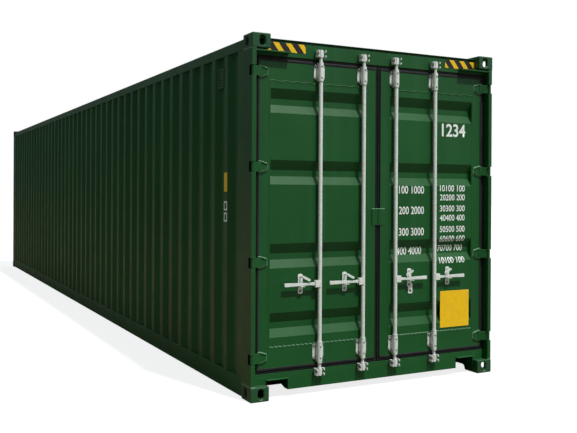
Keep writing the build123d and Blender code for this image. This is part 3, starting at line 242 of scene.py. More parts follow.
# The bare plate on the right leaf, and the bare label and open frames on a rib of the left side
PLATE_Y = (0.675, 1.003)
PLATE_Z = (0.436, 0.764)
PLATE_LIFT = 0.0025
PLATE_CHAMFER = 0.0008
PLATE_RIVETS_Y = (0.690, 0.988)
PLATE_RIVETS_Z = (0.452, 0.748)
LABEL_X = (5.5265, 5.5935)
LABEL_Z = (1.648, 1.808)
LABEL_LIFT = 0.0008
LABEL_CHAMFER = 0.0002
SIDE_FRAMES_Z = ((1.491, 1.568), (1.396, 1.473))
SIDE_FRAME_STROKE = 0.014
SIDE_FRAME_LIFT = 0.0006
SIDE_FRAME_CHAMFER = 0.0001


def link(tree, source, target):
    tree.links.new(source, target)


def colour(rgb):
    """A colour with full opacity, as the sockets want it."""
    return (rgb[0], rgb[1], rgb[2], 1.0)


def scaled(rgb, share):
    """A colour made darker or paler."""
    return tuple(share * part for part in rgb)


def set_inputs(node, pairs):
    """Fixed values on a node's inputs."""
    for key, value in pairs:
        node.inputs[key].default_value = value


def noise(tree, coordinates, scale=1.0, detail=3.0, roughness=0.55):
    """A noise texture's factor."""
    node = tree.nodes.new("ShaderNodeTexNoise")
    set_inputs(node, (("Scale", scale), ("Detail", detail), ("Roughness", roughness)))
    link(tree, coordinates, node.inputs["Vector"])
    return node.outputs["Fac"]


def stretched(tree, coordinates, scale):
    """Coordinates scaled differently along each axis, for streaks and grain."""
    node = tree.nodes.new("ShaderNodeMapping")
    node.inputs["Scale"].default_value = scale
    link(tree, coordinates, node.inputs["Vector"])
    return node.outputs["Vector"]


def ramp(tree, factor, low, high, low_value=0.0, high_value=1.0):
    """A factor spread so that low and high land on the two values."""
    node = tree.nodes.new("ShaderNodeMapRange")
    set_inputs(
        node,
        (("From Min", low), ("From Max", high), ("To Min", low_value), ("To Max", high_value)),
    )
    link(tree, factor, node.inputs["Value"])
    return node.outputs["Result"]


def blend(tree, factor, first, second):
    """One colour or link laid over another by a factor."""
    node = tree.nodes.new("ShaderNodeMix")
    node.data_type = "RGBA"
    for socket, value in ((6, first), (7, second)):
        if isinstance(value, tuple):
            node.inputs[socket].default_value = colour(value)
        else:
            link(tree, value, node.inputs[socket])
    link(tree, factor, node.inputs[0])
    return node.outputs[2]


def maths(tree, operation, first, second=0.0):
    """The result of a maths node on links or numbers."""
    node = tree.nodes.new("ShaderNodeMath")
    node.operation = operation
    for socket, value in ((0, first), (1, second)):
        if isinstance(value, float):
            node.inputs[socket].default_value = value
        else:
            link(tree, value, node.inputs[socket])
    return node.outputs[0]


def times(tree, first, second):
    return maths(tree, "MULTIPLY", first, second)


def coat(tree, body, mask, share, paint):
    """A body colour with a share of another laid over it where the mask is 1."""
    return blend(tree, times(tree, mask, share), body, paint)


def split_xyz(tree, vector):
    """The three parts of a vector link, by letter."""
    node = tree.nodes.new("ShaderNodeSeparateXYZ")
    link(tree, vector, node.inputs[0])
    return node.outputs


def surface_normal(tree):
    return tree.nodes.new("ShaderNodeNewGeometry").outputs["Normal"]


def edge_mask(tree, radius):
    """1 where an outer or inner edge lies within the radius, and the softened normal."""
    bevel = tree.nodes.new("ShaderNodeBevel")
    bevel.samples = 4
    bevel.inputs["Radius"].default_value = radius
    dot = tree.nodes.new("ShaderNodeVectorMath")
    dot.operation = "DOT_PRODUCT"
    link(tree, bevel.outputs["Normal"], dot.inputs[0])
    link(tree, surface_normal(tree), dot.inputs[1])
    return ramp(tree, dot.outputs["Value"], 0.995, 0.90), bevel.outputs["Normal"]


def upward(tree):
    """1 on surfaces that look up, where dust settles."""
    return ramp(tree, split_xyz(tree, surface_normal(tree))["Z"], 0.55, 0.98)


def crest_dust_and_reflection_mask(tree, place):
    """1 low down on the crests and posts of the long sides, where road dust clings in washed streaks and a
    painted reflection of the ground lightens them.
    """
    spot = split_xyz(tree, place)
    normal = split_xyz(tree, surface_normal(tree))
    outermost = ramp(tree, maths(tree, "ABSOLUTE", spot["Y"]), CREST_Y - 0.006, CREST_Y - 0.002)
    facing = ramp(tree, maths(tree, "ABSOLUTE", normal["Y"]), 0.80, 0.98)
    low_down = ramp(tree, spot["Z"], ROAD_DUST_AND_REFLECTION_NONE_Z, ROAD_DUST_AND_REFLECTION_FULL_Z)
    above_rail = ramp(tree, spot["Z"], RAIL_TOP_Z, RAIL_TOP_Z + 0.05, low_value=0.25)
    on_post = ramp(tree, maths(tree, "ABSOLUTE", spot["X"]), POST_BACK_X - 0.01, POST_BACK_X)
    low_down = times(tree, low_down, maths(tree, "MAXIMUM", above_rail, on_post))
    streaks = noise(tree, stretched(tree, place, (5.0, 5.0, 0.5)), detail=4.0)
    washed = ramp(tree, streaks, 0.30, 0.65, low_value=0.55)
    return times(tree, times(tree, outermost, facing), times(tree, low_down, washed))


def crevice_shade_mask(tree, reach):
    """1 in crevices nearer than the reach, where the gear gets painted shade."""
    hollow = tree.nodes.new("ShaderNodeAmbientOcclusion")
    hollow.samples = 6
    hollow.inputs["Distance"].default_value = reach
    return ramp(tree, hollow.outputs["AO"], 0.75, 0.30)


def bump(tree, height, strength, distance, normal=None):
    """A surface normal roughened by a height, on top of another normal where one is given."""
    node = tree.nodes.new("ShaderNodeBump")
    set_inputs(node, (("Strength", strength), ("Distance", distance)))
    link(tree, height, node.inputs["Height"])
    if normal is not None:
        link(tree, normal, node.inputs["Normal"])
    return node.outputs["Normal"]


def start_material(name, base, settings):
    """A new material with its tree, the object's own coordinates and a shader with fixed settings."""
    material = bpy.data.materials.new(name)
    material.diffuse_color = colour(base)
    material.use_nodes = True
    tree = material.node_tree
    tree.nodes.clear()
    shader = tree.nodes.new("ShaderNodeBsdfPrincipled")
    set_inputs(shader, settings)
    output = tree.nodes.new("ShaderNodeOutputMaterial")
    link(tree, shader.outputs[0], output.inputs["Surface"])
    place = tree.nodes.new("ShaderNodeTexCoord").outputs["Object"]
    return material, tree, place, shader


def dress_shader(tree, shader, body, dullness, surface):
    """The colour, the roughness and the normal linked into a shader."""
    link(tree, body, shader.inputs["Base Color"])
    link(tree, dullness, shader.inputs["Roughness"])
    link(tree, surface, shader.inputs["Normal"])


def painted_steel(name, base, wear_and_highlight, grain=160.0, soft_edge=0.003, waves=1.0):
    """Paint over steel: mottled, streaked, dusty, paler edges of wear and painted highlight, crests with
    painted ground reflection, orange peel, slight waves.
    """
    settings = (("Specular IOR Level", 0.30), ("Metallic", 0.0))
    material, tree, place, shader = start_material(name, base, settings)
    patches = ramp(tree, noise(tree, place, scale=0.9, detail=4.0), 0.35, 0.68)
    streaks = ramp(tree, noise(tree, stretched(tree, place, (9.0, 9.0, 0.55)), detail=4.0), 0.50, 0.72)
    specks = ramp(tree, noise(tree, place, scale=38.0, detail=4.0, roughness=0.7), 0.62, 0.78)
    chips = ramp(tree, noise(tree, place, scale=55.0, detail=5.0, roughness=0.75), 0.50, 0.62)
    settled = times(tree, upward(tree), ramp(tree, noise(tree, place, scale=3.0, detail=5.0), 0.30, 0.75))
    edges, soft_normal = edge_mask(tree, soft_edge)
    body = blend(tree, patches, scaled(base, 0.80), base)
    for mask, share, paint in (
        (streaks, 0.16, wear_and_highlight),
        (specks, 0.10, wear_and_highlight),
        # Paler edges: wear, and a painted highlight
        (edges, 0.50, wear_and_highlight),
        (times(tree, edges, chips), 0.35, PRIMER),
        (settled, 0.10, DUST),
        # Road dust and a painted reflection of the ground, low on the side crests
        (crest_dust_and_reflection_mask(tree, place), 0.42, ROAD_DUST_AND_REFLECTION),
    ):
        body = coat(tree, body, mask, share, paint)
    dullness = ramp(tree, noise(tree, place, scale=5.0, detail=4.0), 0.30, 0.70, 0.37, 0.51)
    peel = noise(tree, place, scale=grain, detail=2.0)
    surface = bump(tree, peel, strength=0.10, distance=0.0006, normal=soft_normal)
    if waves > 0.0:
        slow = noise(tree, place, scale=2.4, detail=1.0)
        surface = bump(tree, slow, strength=0.22 * waves, distance=0.02, normal=surface)
    dress_shader(tree, shader, body, dullness, surface)
    return material


def galvanised_steel(name, zinc):
    """Dull zinc: crystal patches, fine drag marks along the bars, stains, pale edges of wear and painted
    highlight, and painted shade in corners.
    """
    settings = (("Metallic", 0.30), ("Specular IOR Level", 0.5))
    material, tree, place, shader = start_material(name, zinc, settings)
    crystals = tree.nodes.new("ShaderNodeTexVoronoi")
    set_inputs(crystals, (("Scale", 95.0), ("Randomness", 1.0)))
    link(tree, place, crystals.inputs["Vector"])
    grey = tree.nodes.new("ShaderNodeRGBToBW")
    link(tree, crystals.outputs["Color"], grey.inputs[0])
    pale = tuple(min(1.0, part) for part in scaled(zinc, 1.14))
    drag = ramp(tree, noise(tree, stretched(tree, place, (120.0, 120.0, 2.0))), 0.35, 0.75)
    stain = ramp(tree, noise(tree, place, scale=14.0, detail=5.0, roughness=0.7), 0.58, 0.80)
    edges, soft_normal = edge_mask(tree, 0.0018)
    body = blend(tree, grey.outputs[0], scaled(zinc, 0.92), pale)
    for mask, share, tint in (
        (drag, 0.22, pale),
        (stain, 0.28, ZINC_STAIN),
        # Pale edges: wear, and a painted highlight
        (edges, 0.30, scaled(zinc, 1.2)),
        # Painted shade in crevices and in gaps between parts
        (crevice_shade_mask(tree, 0.028), 0.75, GEAR_CREVICE_SHADE),
    ):
        body = coat(tree, body, mask, share, tint)
    dullness = ramp(tree, grey.outputs[0], 0.0, 1.0, 0.34, 0.50)
    surface = bump(tree, noise(tree, place, scale=220.0), strength=0.12, distance=0.0005, normal=soft_normal)
    dress_shader(tree, shader, body, dullness, surface)
    return material


def rubber():
    """Black seal rubber, slightly chalky."""
    settings = (("Specular IOR Level", 0.22), ("Sheen Weight", 0.05), ("Sheen Roughness", 0.5))
    material, tree, place, shader = start_material("seal_rubber", RUBBER, settings)
    chalk = ramp(tree, noise(tree, place, scale=16.0, detail=5.0, roughness=0.7), 0.40, 0.75)
    grain = noise(tree, place, scale=240.0, detail=2.0)
    soft_normal = edge_mask(tree, 0.002)[1]
    dress_shader(
        tree,
        shader,
        blend(tree, times(tree, chalk, 0.12), RUBBER, RUBBER_CHALK),
        ramp(tree, noise(tree, place, scale=9.0), 0.30, 0.70, 0.48, 0.66),
        bump(tree, grain, strength=0.10, distance=0.0005, normal=soft_normal),
    )
    return material


def plywood():
    """Sealed floor plywood: long grain, sheets of different shades, and scuffs."""
    settings = (("Specular IOR Level", 0.4),)
    material, tree, place, shader = start_material("floor_plywood", PLYWOOD, settings)
    fibres = noise(tree, stretched(tree, place, (1.4, 42.0, 42.0)), detail=6.0, roughness=0.65)
    grain = ramp(tree, fibres, 0.32, 0.70)
    sheets = ramp(tree, noise(tree, stretched(tree, place, (0.35, 0.9, 1.0)), detail=1.0), 0.35, 0.65)
    wear = noise(tree, stretched(tree, place, (0.9, 6.0, 6.0)), detail=6.0, roughness=0.8)
    body = blend(tree, grain, PLYWOOD_DARK, PLYWOOD)
    body = coat(tree, body, sheets, 0.35, PLYWOOD_PALE)
    body = coat(tree, body, ramp(tree, wear, 0.60, 0.78), 0.35, PLYWOOD_SCUFF)
    dullness = ramp(tree, grain, 0.0, 1.0, 0.62, 0.46)
    dress_shader(tree, shader, body, dullness, bump(tree, grain, strength=0.15, distance=0.001))
    return material


def film(name, base):
    """A printed or painted mark: flat colour with slight fading and grain."""
    settings = (("Specular IOR Level", 0.3),)
    material, tree, place, shader = start_material(name, base, settings)
    faded = tuple(part + 0.012 for part in scaled(base, 0.86))
    patches = ramp(tree, noise(tree, place, scale=22.0, detail=5.0, roughness=0.7), 0.40, 0.72)
    dress_shader(
        tree,
        shader,
        blend(tree, patches, base, faded),
        ramp(tree, noise(tree, place, scale=12.0), 0.3, 0.7, 0.36, 0.50),
        bump(tree, noise(tree, place, scale=300.0, detail=2.0), strength=0.06, distance=0.0003),
    )
    return material


MATERIALS = {
    "container_green": painted_steel("container_green", GREEN, GREEN_WEAR_AND_HIGHLIGHT),
    "casting_paint": painted_steel("casting_paint", CAST_GREEN, GREEN_WEAR_AND_HIGHLIGHT, 70.0, 0.005, 0.0),
    "galvanised_gear": galvanised_steel("galvanised_gear", GALVANISED),
    "seal_rubber": rubber(),
    "floor_plywood": plywood(),
    "underframe_paint": painted_steel("underframe_paint", UNDERCOAT, UNDERCOAT_WEAR_AND_HIGHLIGHT, 110.0, 0.002, 0.0),
    "vent_paint": painted_steel("vent_paint", GREEN, GREEN_WEAR_AND_HIGHLIGHT, 240.0, 0.0015, 0.0),
}
# Weld beads in a paler paint that carries dust and a painted highlight
WELD_DUST_AND_HIGHLIGHT_PAINT = painted_steel("weld_dust_and_highlight_paint", WELD_DUST_AND_HIGHLIGHT_GREEN, WELD_WEAR_AND_HIGHLIGHT_GREEN, 90.0, 0.001, 0.0)
# Darker zinc for the bolts: weathering, and painted shade for their shadows
SHADED_BOLT_STEEL = galvanised_steel("shaded_bolt_steel", BOLT_ZINC_WITH_PAINTED_SHADE)
MARK_YELLOW = film("mark_yellow", YELLOW)
MARK_BLACK = film("mark_black", BLACK)
MARK_WHITE = film("mark_white", WHITE)


def dress_nodes():
    """Every solid gets the material of its slot in the record."""
    slots = {row["node"]: row["material_slot"] for row in frame["record"]["subparts"]}
    for name, obj in NODES.items():
        obj.data.materials[0] = MATERIALS[slots[name]]


def make_object(shape, name, body, look, smooth=0.0):
    """A new piece from a filled mesh, on its body, in the material of a slot or in one of its own.

    With an angle in smooth, faces that bend less than it look smooth.
    """
    slot = look if isinstance(look, str) else None
    bmesh.ops.recalc_face_normals(shape, faces=shape.faces)
    mesh = bpy.data.meshes.new(name)
    shape.to_mesh(mesh)
    shape.free()
    mesh.materials.append(MATERIALS[slot] if slot else look)
    if smooth:
        for polygon in mesh.polygons:
            polygon.use_smooth = True
        mesh.set_sharp_from_angle(angle=smooth)
    obj = bpy.data.objects.new(name, mesh)
    bpy.context.scene.collection.objects.link(obj)
    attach(obj, body)
    return obj


def ring(shape, centre, plane, radius, count, turn=0.0):
    """A ring of vertices in the plane of two unit vectors."""
    across, along = plane
    verts = []
    for step in range(count):
        angle = turn + 2.0 * math.pi * step / count
        point = centre + across * (radius * math.cos(angle)) + along * (radius * math.sin(angle))
        verts.append(shape.verts.new(point))
    return verts


def join_rings(shape, first, second):
    """A closed band of faces between two rings with as many vertices."""
    count = len(first)
    for step in range(count):
        after = (step + 1) % count
        shape.faces.new((first[step], first[after], second[after], second[step]))


def plane_across(axis):
    """Two unit vectors square to an axis and to each other."""
    helper = UP if abs(axis.z) < 0.9 else OUT
    across = axis.cross(helper).normalized()
    return across, axis.cross(across)


def bolt_head(shape, centre, axis, radius, height, turn):
    """A hexagon head with chamfered crown, on a round washer."""
    plane = plane_across(axis)
    washer_height = 0.25 * height
    washer_radius = 1.45 * radius
    foot = ring(shape, centre, plane, washer_radius, 20)
    lip = ring(shape, centre + axis * washer_height * 0.7, plane, washer_radius, 20)
    crown = ring(shape, centre + axis * washer_height, plane, 1.35 * radius, 20)
    join_rings(shape, foot, lip)
    join_rings(shape, lip, crown)
    shape.faces.new(crown)
    base = ring(shape, centre + axis * washer_height, plane, radius, 6, turn)
    side = ring(shape, centre + axis * height * 0.82, plane, radius, 6, turn)
    top = ring(shape, centre + axis * height, plane, 0.82 * radius, 6, turn)
    join_rings(shape, base, side)
    join_rings(shape, side, top)
    shape.faces.new(top)


def dome_head(shape, centre, axis, radius, height):
    """A low round rivet or screw head."""
    plane = plane_across(axis)
    foot = ring(shape, centre, plane, radius, 12)
    middle = ring(shape, centre + axis * height * 0.7, plane, 0.78 * radius, 12)
    top = ring(shape, centre + axis * height, plane, 0.35 * radius, 12)
    join_rings(shape, foot, middle)
    join_rings(shape, middle, top)
    shape.faces.new(top)


def slab(shape, low, high, chamfer=0.0):
    """A thin plate between two corners, with its outer edge broken towards +X."""
    x_low, y_low, z_low = low
    x_high, y_high, z_high = high
    levels = ((x_low, 0.0), (x_high - chamfer, 0.0), (x_high, chamfer))
    rings = []
    for x, inset in levels:
        corners = (
            (y_low + inset, z_low + inset),
            (y_high - inset, z_low + inset),
            (y_high - inset, z_high - inset),
            (y_low + inset, z_high - inset),
        )
        rings.append([shape.verts.new((x, y, z)) for y, z in corners])
    for first, second in zip(rings, rings[1:]):
        join_rings(shape, first, second)
    shape.faces.new(rings[0])
    shape.faces.new(rings[-1])


def bevelled_box(shape, low, high, chamfer):
    """A box between two corners with all its edges broken."""
    size = [high[axis] - low[axis] for axis in range(3)]
    middle = [(high[axis] + low[axis]) / 2 for axis in range(3)]
    place = Matrix.Translation(middle) @ Matrix.Diagonal((*size, 1.0))
    made = bmesh.ops.create_cube(shape, size=1.0, matrix=place)["verts"]
    edges = list(dict.fromkeys(edge for vert in made for edge in vert.link_edges))
    bmesh.ops.bevel(shape, geom=edges, offset=chamfer, segments=1, affect="EDGES")


def border_bars(low, high, width):
    """Four bars along the inside of a rectangle, each as its low and then its high corner."""
    left, foot = low
    right, top = high
    return (
        (left, foot, left + width, top),
        (right - width, foot, right, top),
        (left + width, foot, right - width, foot + width),
        (left + width, top - width, right - width, top),
    )


def weld_bead(shape, start, end, out, radius, wobble, seed, ripple=0.010, weave=0.0, sag=0.0):
    """A weld run between two points: a ridge with ripples, wandering or woven at a wavelength.

    sag moves its crest down, which gives the ridge a gentle upper side and a steep lower one.
    """
    chooser = random.Random(seed)
    run = end - start
    length = run.length
    along = run.normalized()
    aside = along.cross(out)
    drop = Vector((0.0, 0.0, sag))
    steps = max(6, int(length / ripple))
    phase = chooser.uniform(0.0, 6.0)
    previous = None
    for step in range(steps + 1):
        share = step / steps
        drift = wobble * (math.sin(9.0 * share + phase) + 0.5 * math.sin(23.0 * share + 2.0 * phase))
        if weave:
            drift = wobble * math.sin(2.0 * math.pi * length * share / weave + 0.6 * math.sin(9.0 * share))
        swell = radius * (1.0 + (0.22 if step % 2 else -0.10) + chooser.uniform(-0.08, 0.08))
        centre = start + along * (length * share) + aside * drift
        crest = out * (WELD_FLATNESS * swell) - drop
        profile = []
        for turn in WELD_TURNS:
            angle = math.pi * turn
            point = centre + aside * (swell * math.cos(angle)) + crest * math.sin(angle)
            profile.append(shape.verts.new(point))
        if previous:
            for corners in zip(previous, previous[1:], profile[1:], profile):
                shape.faces.new(corners)
        previous = profile


def face_weld(shape, start, end, **form):
    """A weld run between two (y, z) places on the leaves' outer face."""
    weld_bead(shape, Vector((LEAF_FACE_X, *start)), Vector((LEAF_FACE_X, *end)), OUT, **form)


def pocket_levels():
    """The heights of the pockets' middles."""
    return [PANEL_Z[0] + share * (PANEL_Z[1] - PANEL_Z[0]) for share in POCKET_SHARES]


def pocket_depth(z):
    """How far the leaf's sheet lies behind its face at a height, in its pressed pockets."""
    for level in pocket_levels():
        rise = z - level
        if -POCKET_HALF <= rise <= POCKET_HALF:
            into = (rise + POCKET_HALF) / (POCKET_BED[0] + POCKET_HALF)
            back = (POCKET_HALF - rise) / (POCKET_HALF - POCKET_BED[1])
            return POCKET_DEPTH * min(1.0, into, back)
    return 0.0


def pocket_creases():
    """The heights at which the sheet bends."""
    rises = (-POCKET_HALF, *POCKET_BED, POCKET_HALF)
    return [level + rise for level in pocket_levels() for rise in rises]


def flat_text(name, words, weight):
    """The filled outlines of some numerals as a mesh."""
    curve = bpy.data.curves.new(name + "_curve", "FONT")
    curve.body = words
    curve.size = 1.0
    curve.extrude = 0.0
    curve.offset = weight
    curve.resolution_u = TEXT_CURVE_STEPS
    temporary = bpy.data.objects.new(name + "_curve", curve)
    bpy.context.scene.collection.objects.link(temporary)
    bpy.context.view_layer.update()
    evaluated = temporary.evaluated_get(bpy.context.evaluated_depsgraph_get())
    mesh = bpy.data.meshes.new_from_object(evaluated)
    bpy.data.objects.remove(temporary)
    return mesh


def place_numerals(name, body, words, span, rise, weight):
    """Plain white numerals stretched over a span of y and z, laid on a leaf's sheet and into its pockets."""
    mesh = flat_text(name, words, weight)
    shape = bmesh.new()
    shape.from_mesh(mesh)
    low = Vector([min(vert.co[axis] for vert in shape.verts) for axis in range(2)])
    high = Vector([max(vert.co[axis] for vert in shape.verts) for axis in range(2)])
    for vert in shape.verts:
        share_y = (vert.co.x - low.x) / (high.x - low.x)
        share_z = (vert.co.y - low.y) / (high.y - low.y)
        y = span[0] + share_y * (span[1] - span[0])
        z = rise[0] + share_z * (rise[1] - rise[0])
        vert.co = Vector((LEAF_FACE_X, y, z))
    for level in pocket_creases():
        if rise[0] < level < rise[1]:
            everything = shape.verts[:] + shape.edges[:] + shape.faces[:]
            bmesh.ops.bisect_plane(shape, geom=everything, plane_co=(0.0, 0.0, level), plane_no=UP)
    for vert in shape.verts:
        vert.co.x += TEXT_LIFT - pocket_depth(vert.co.z)
    shape.to_mesh(mesh)
    shape.free()
    mesh.name = name
    mesh.materials.clear()
    mesh.materials.append(MARK_WHITE)
    obj = bpy.data.objects.new(name, mesh)
    bpy.context.scene.collection.objects.link(obj)
    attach(obj, body)


def add_camera():
    """The camera of the photograph, worked out from the container's corners."""
    level = math.cos(CAMERA_ELEVATION)
    forward = Vector(
        (-math.sin(CAMERA_AZIMUTH) * level, math.cos(CAMERA_AZIMUTH) * level, -math.sin(CAMERA_ELEVATION))
    )
    right = forward.cross(UP).normalized()
    up = right.cross(forward)
    turned_right = right * math.cos(CAMERA_ROLL) + up * math.sin(CAMERA_ROLL)
    turned_up = up * math.cos(CAMERA_ROLL) - right * math.sin(CAMERA_ROLL)
    data = bpy.data.cameras.new("camera")
    data.sensor_fit = "HORIZONTAL"
    data.sensor_width = SENSOR_WIDTH
    data.lens = SENSOR_WIDTH * FOCAL_PIXELS / PHOTO_WIDTH
    data.shift_y = SHIFT_UP
    data.clip_end = CLIP_END
    camera = bpy.data.objects.new("camera", data)
    axes = Matrix((turned_right, turned_up, -forward)).transposed()
    camera.matrix_world = Matrix.Translation(CAMERA_PLACE) @ axes.to_4x4()
    bpy.context.scene.collection.objects.link(camera)
    bpy.context.scene.camera = camera


def add_sun():
    """One soft sun from above the doors, which leaves the left side in shade."""
    data = bpy.data.lights.new("key_sun", "SUN")
    data.energy = SUN_STRENGTH
    data.angle = SUN_ANGLE
    data.color = SUN_COLOUR
    lamp = bpy.data.objects.new("key_sun", data)
    lamp.rotation_euler = SUN_DIRECTION.to_track_quat("Z", "Y").to_euler()
    bpy.context.scene.collection.objects.link(lamp)


def add_world():
    """Soft sky light, weaker on the shaded side, and plain white for the camera, gloss and glass."""
    world = bpy.data.worlds.new("studio")
    bpy.context.scene.world = world
    world.use_nodes = True
    tree = world.node_tree
    tree.nodes.clear()
    way = split_xyz(tree, tree.nodes.new("ShaderNodeTexCoord").outputs["Generated"])
    rays = tree.nodes.new("ShaderNodeLightPath").outputs

    # The light that reaches the object
    below = ramp(tree, way["Z"], -0.5, 0.05)
    above = ramp(tree, way["Z"], 0.0, 0.85)
    sky = blend(tree, above, blend(tree, below, SKY_FOOT, SKY_SIDE), SKY_TOP)
    around = ramp(tree, way["Y"], -0.6, 0.5, low_value=SHADE_SIDE_LIGHT)
    near_left = maths(tree, "SUBTRACT", way["X"], way["Y"])
    corner = ramp(tree, near_left, 0.4, 1.3, 1.0, SHADE_CORNER_LIGHT)
    shade_gloss = times(tree, rays["Is Glossy Ray"], ramp(tree, way["Y"], 0.1, -0.3))
    strength = times(tree, times(tree, around, corner), ramp(tree, shade_gloss, 0.0, 1.0, 1.0, SHADE_GLOSS))
    lit = tree.nodes.new("ShaderNodeBackground")
    link(tree, sky, lit.inputs["Color"])
    link(tree, strength, lit.inputs["Strength"])

    # The white behind the object, which upward reflections show too
    white = tree.nodes.new("ShaderNodeBackground")
    white.inputs["Color"].default_value = colour(PURE_WHITE)
    mirrored = times(tree, rays["Is Glossy Ray"], ramp(tree, way["Z"], 0.10, 0.55))
    mirrored = times(tree, mirrored, ramp(tree, way["Y"], -0.6, 0.3))
    seen = maths(tree, "MAXIMUM", rays["Is Camera Ray"], mirrored)
    seen = maths(tree, "MAXIMUM", seen, rays["Is Transmission Ray"])
    mix_surface(tree, seen, lit, white, "ShaderNodeOutputWorld")


def mix_surface(tree, factor, first, second, output_kind):
    """Two shaders mixed by a factor into the tree's output."""
    mix = tree.nodes.new("ShaderNodeMixShader")
    link(tree, factor, mix.inputs[0])
    link(tree, first.outputs[0], mix.inputs[1])
    link(tree, second.outputs[0], mix.inputs[2])
    link(tree, mix.outputs[0], tree.nodes.new(output_kind).inputs["Surface"])


def add_floor():
    """A plain pale floor: near white to the camera with the object's shadow, a dim bounce to the object."""
    mesh = bpy.data.meshes.new("studio_floor")
    corners = ((-1.0, -1.0), (1.0, -1.0), (1.0, 1.0), (-1.0, 1.0))
    mesh.from_pydata([(FLOOR_REACH * x, FLOOR_REACH * y, 0.0) for x, y in corners], [], [(0, 1, 2, 3)])
    material = bpy.data.materials.new("studio_floor")
    material.use_nodes = True
    tree = material.node_tree
    tree.nodes.clear()
    grey = tree.nodes.new("ShaderNodeBsdfDiffuse")
    grey.inputs["Color"].default_value = colour(FLOOR_GREY)
    glow = tree.nodes.new("ShaderNodeEmission")
    set_inputs(glow, (("Color", colour(PURE_WHITE)), ("Strength", FLOOR_GLOW)))
    pale = tree.nodes.new("ShaderNodeAddShader")
    link(tree, grey.outputs[0], pale.inputs[0])
    link(tree, glow.outputs[0], pale.inputs[1])
    bounce = tree.nodes.new("ShaderNodeBsdfDiffuse")
    bounce.inputs["Color"].default_value = colour(FLOOR_BOUNCE)
    seen = tree.nodes.new("ShaderNodeLightPath").outputs["Is Camera Ray"]
    mix_surface(tree, seen, bounce, pale, "ShaderNodeOutputMaterial")
    mesh.materials.append(material)
    floor = bpy.data.objects.new("studio_floor", mesh)
    floor.location.z = CAD_BOX[0].z - FLOOR_DROP
    bpy.context.scene.collection.objects.link(floor)


def seal_rows(frame_box, seal_box, lip_low_y, lip_high_y):
    """The seal's outline as rows of (low y, z), (high y, z), x and waviness, from its lip outwards."""
    frame_low, frame_high = frame_box
    seal_low, seal_high = seal_box
    rows = []
    for share, rise in LIP_PROFILE:
        low = (frame_low.y + share * lip_low_y, frame_low.z + share * SEAL_LIP)
        high = (frame_high.y - share * lip_high_y, frame_high.z - share * SEAL_LIP)
        rows.append((low, high, LEAF_FACE_X + rise / MM_PER_M, 0.0))
    for share, depth in SEAL_PROFILE:
        low = frame_low.lerp(seal_low, share)
        high = frame_high.lerp(seal_high, share)
        rows.append(((low.y, low.z), (high.y, high.z), seal_high.x - depth / MM_PER_M, share))
    return rows


def seal_loop(low, high, front, waviness, back):
    """One row of the seal as points round the leaf, with a slight wave in its depth."""
    corners = ((low[0], low[1]), (high[0], low[1]), (high[0], high[1]), (low[0], high[1]))
    points = []
    for index, (y, z) in enumerate(corners):
        next_y, next_z = corners[(index + 1) % 4]
        steps = SEAL_STEPS[index % 2]
        for step in range(steps):
            along = step / steps
            wave = SEAL_WAVE * waviness * (1.0 + math.sin(5.1 * step + 2.0 * index)) / 2
            points.append((max(front - wave, back), y + along * (next_y - y), z + along * (next_z - z)))
    return points


def add_gaskets():
    """A lipped rubber profile round each leaf, mitred at its corners, in place of the plain seal solid."""
    for side, sign in SIDES.items():
        seal_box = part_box(f"{side}_leaf_seal")
        lips = (SEAL_LIP, SEAL_CENTRE_LIP) if sign < 0 else (SEAL_CENTRE_LIP, SEAL_LIP)
        shape = bmesh.new()
        loops = []
        for row in seal_rows(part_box(f"{side}_leaf_frame"), seal_box, *lips):
            loops.append([shape.verts.new(point) for point in seal_loop(*row, seal_box[0].x)])
        for first, second in zip(loops, loops[1:] + loops[:1]):
            join_rings(shape, first, second)
        gasket = make_object(shape, f"{side}_gasket", f"{side}_leaf", "seal_rubber", SEAL_SMOOTH)
        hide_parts(f"{side}_leaf_seal")


def add_seal_strips():
    """Riveted flat bars round the back of each leaf, which hold the seal."""
    front_x = LEAF_BACK_X - STRIP_THICKNESS
    for side in SIDES:
        low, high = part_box(f"{side}_leaf_frame")
        strip_low = (low.y + STRIP_INSET, low.z + STRIP_INSET)
        strip_high = (high.y - STRIP_INSET, high.z - STRIP_INSET)
        strips = bmesh.new()
        rivets = bmesh.new()
        for y1, z1, y2, z2 in border_bars(strip_low, strip_high, STRIP_WIDTH):
            bevelled_box(strips, (front_x, y1, z1), (LEAF_BACK_X, y2, z2), STRIP_CHAMFER)
            upright = z2 - z1 > y2 - y1
            start = (z1 if upright else y1) + RIVET_END_GAP
            end = (z2 if upright else y2) - RIVET_END_GAP
            count = round((end - start) / RIVET_PITCH)
            for number in range(count + 1):
                along = start + (end - start) * number / count
                place = ((y1 + y2) / 2, along) if upright else (along, (z1 + z2) / 2)
                dome_head(rivets, Vector((front_x, *place)), INWARD, radius=0.0045, height=0.0018)
        make_object(strips, f"{side}_seal_strips", f"{side}_leaf", "galvanised_gear")
        make_object(rivets, f"{side}_seal_rivets", f"{side}_leaf", "galvanised_gear")


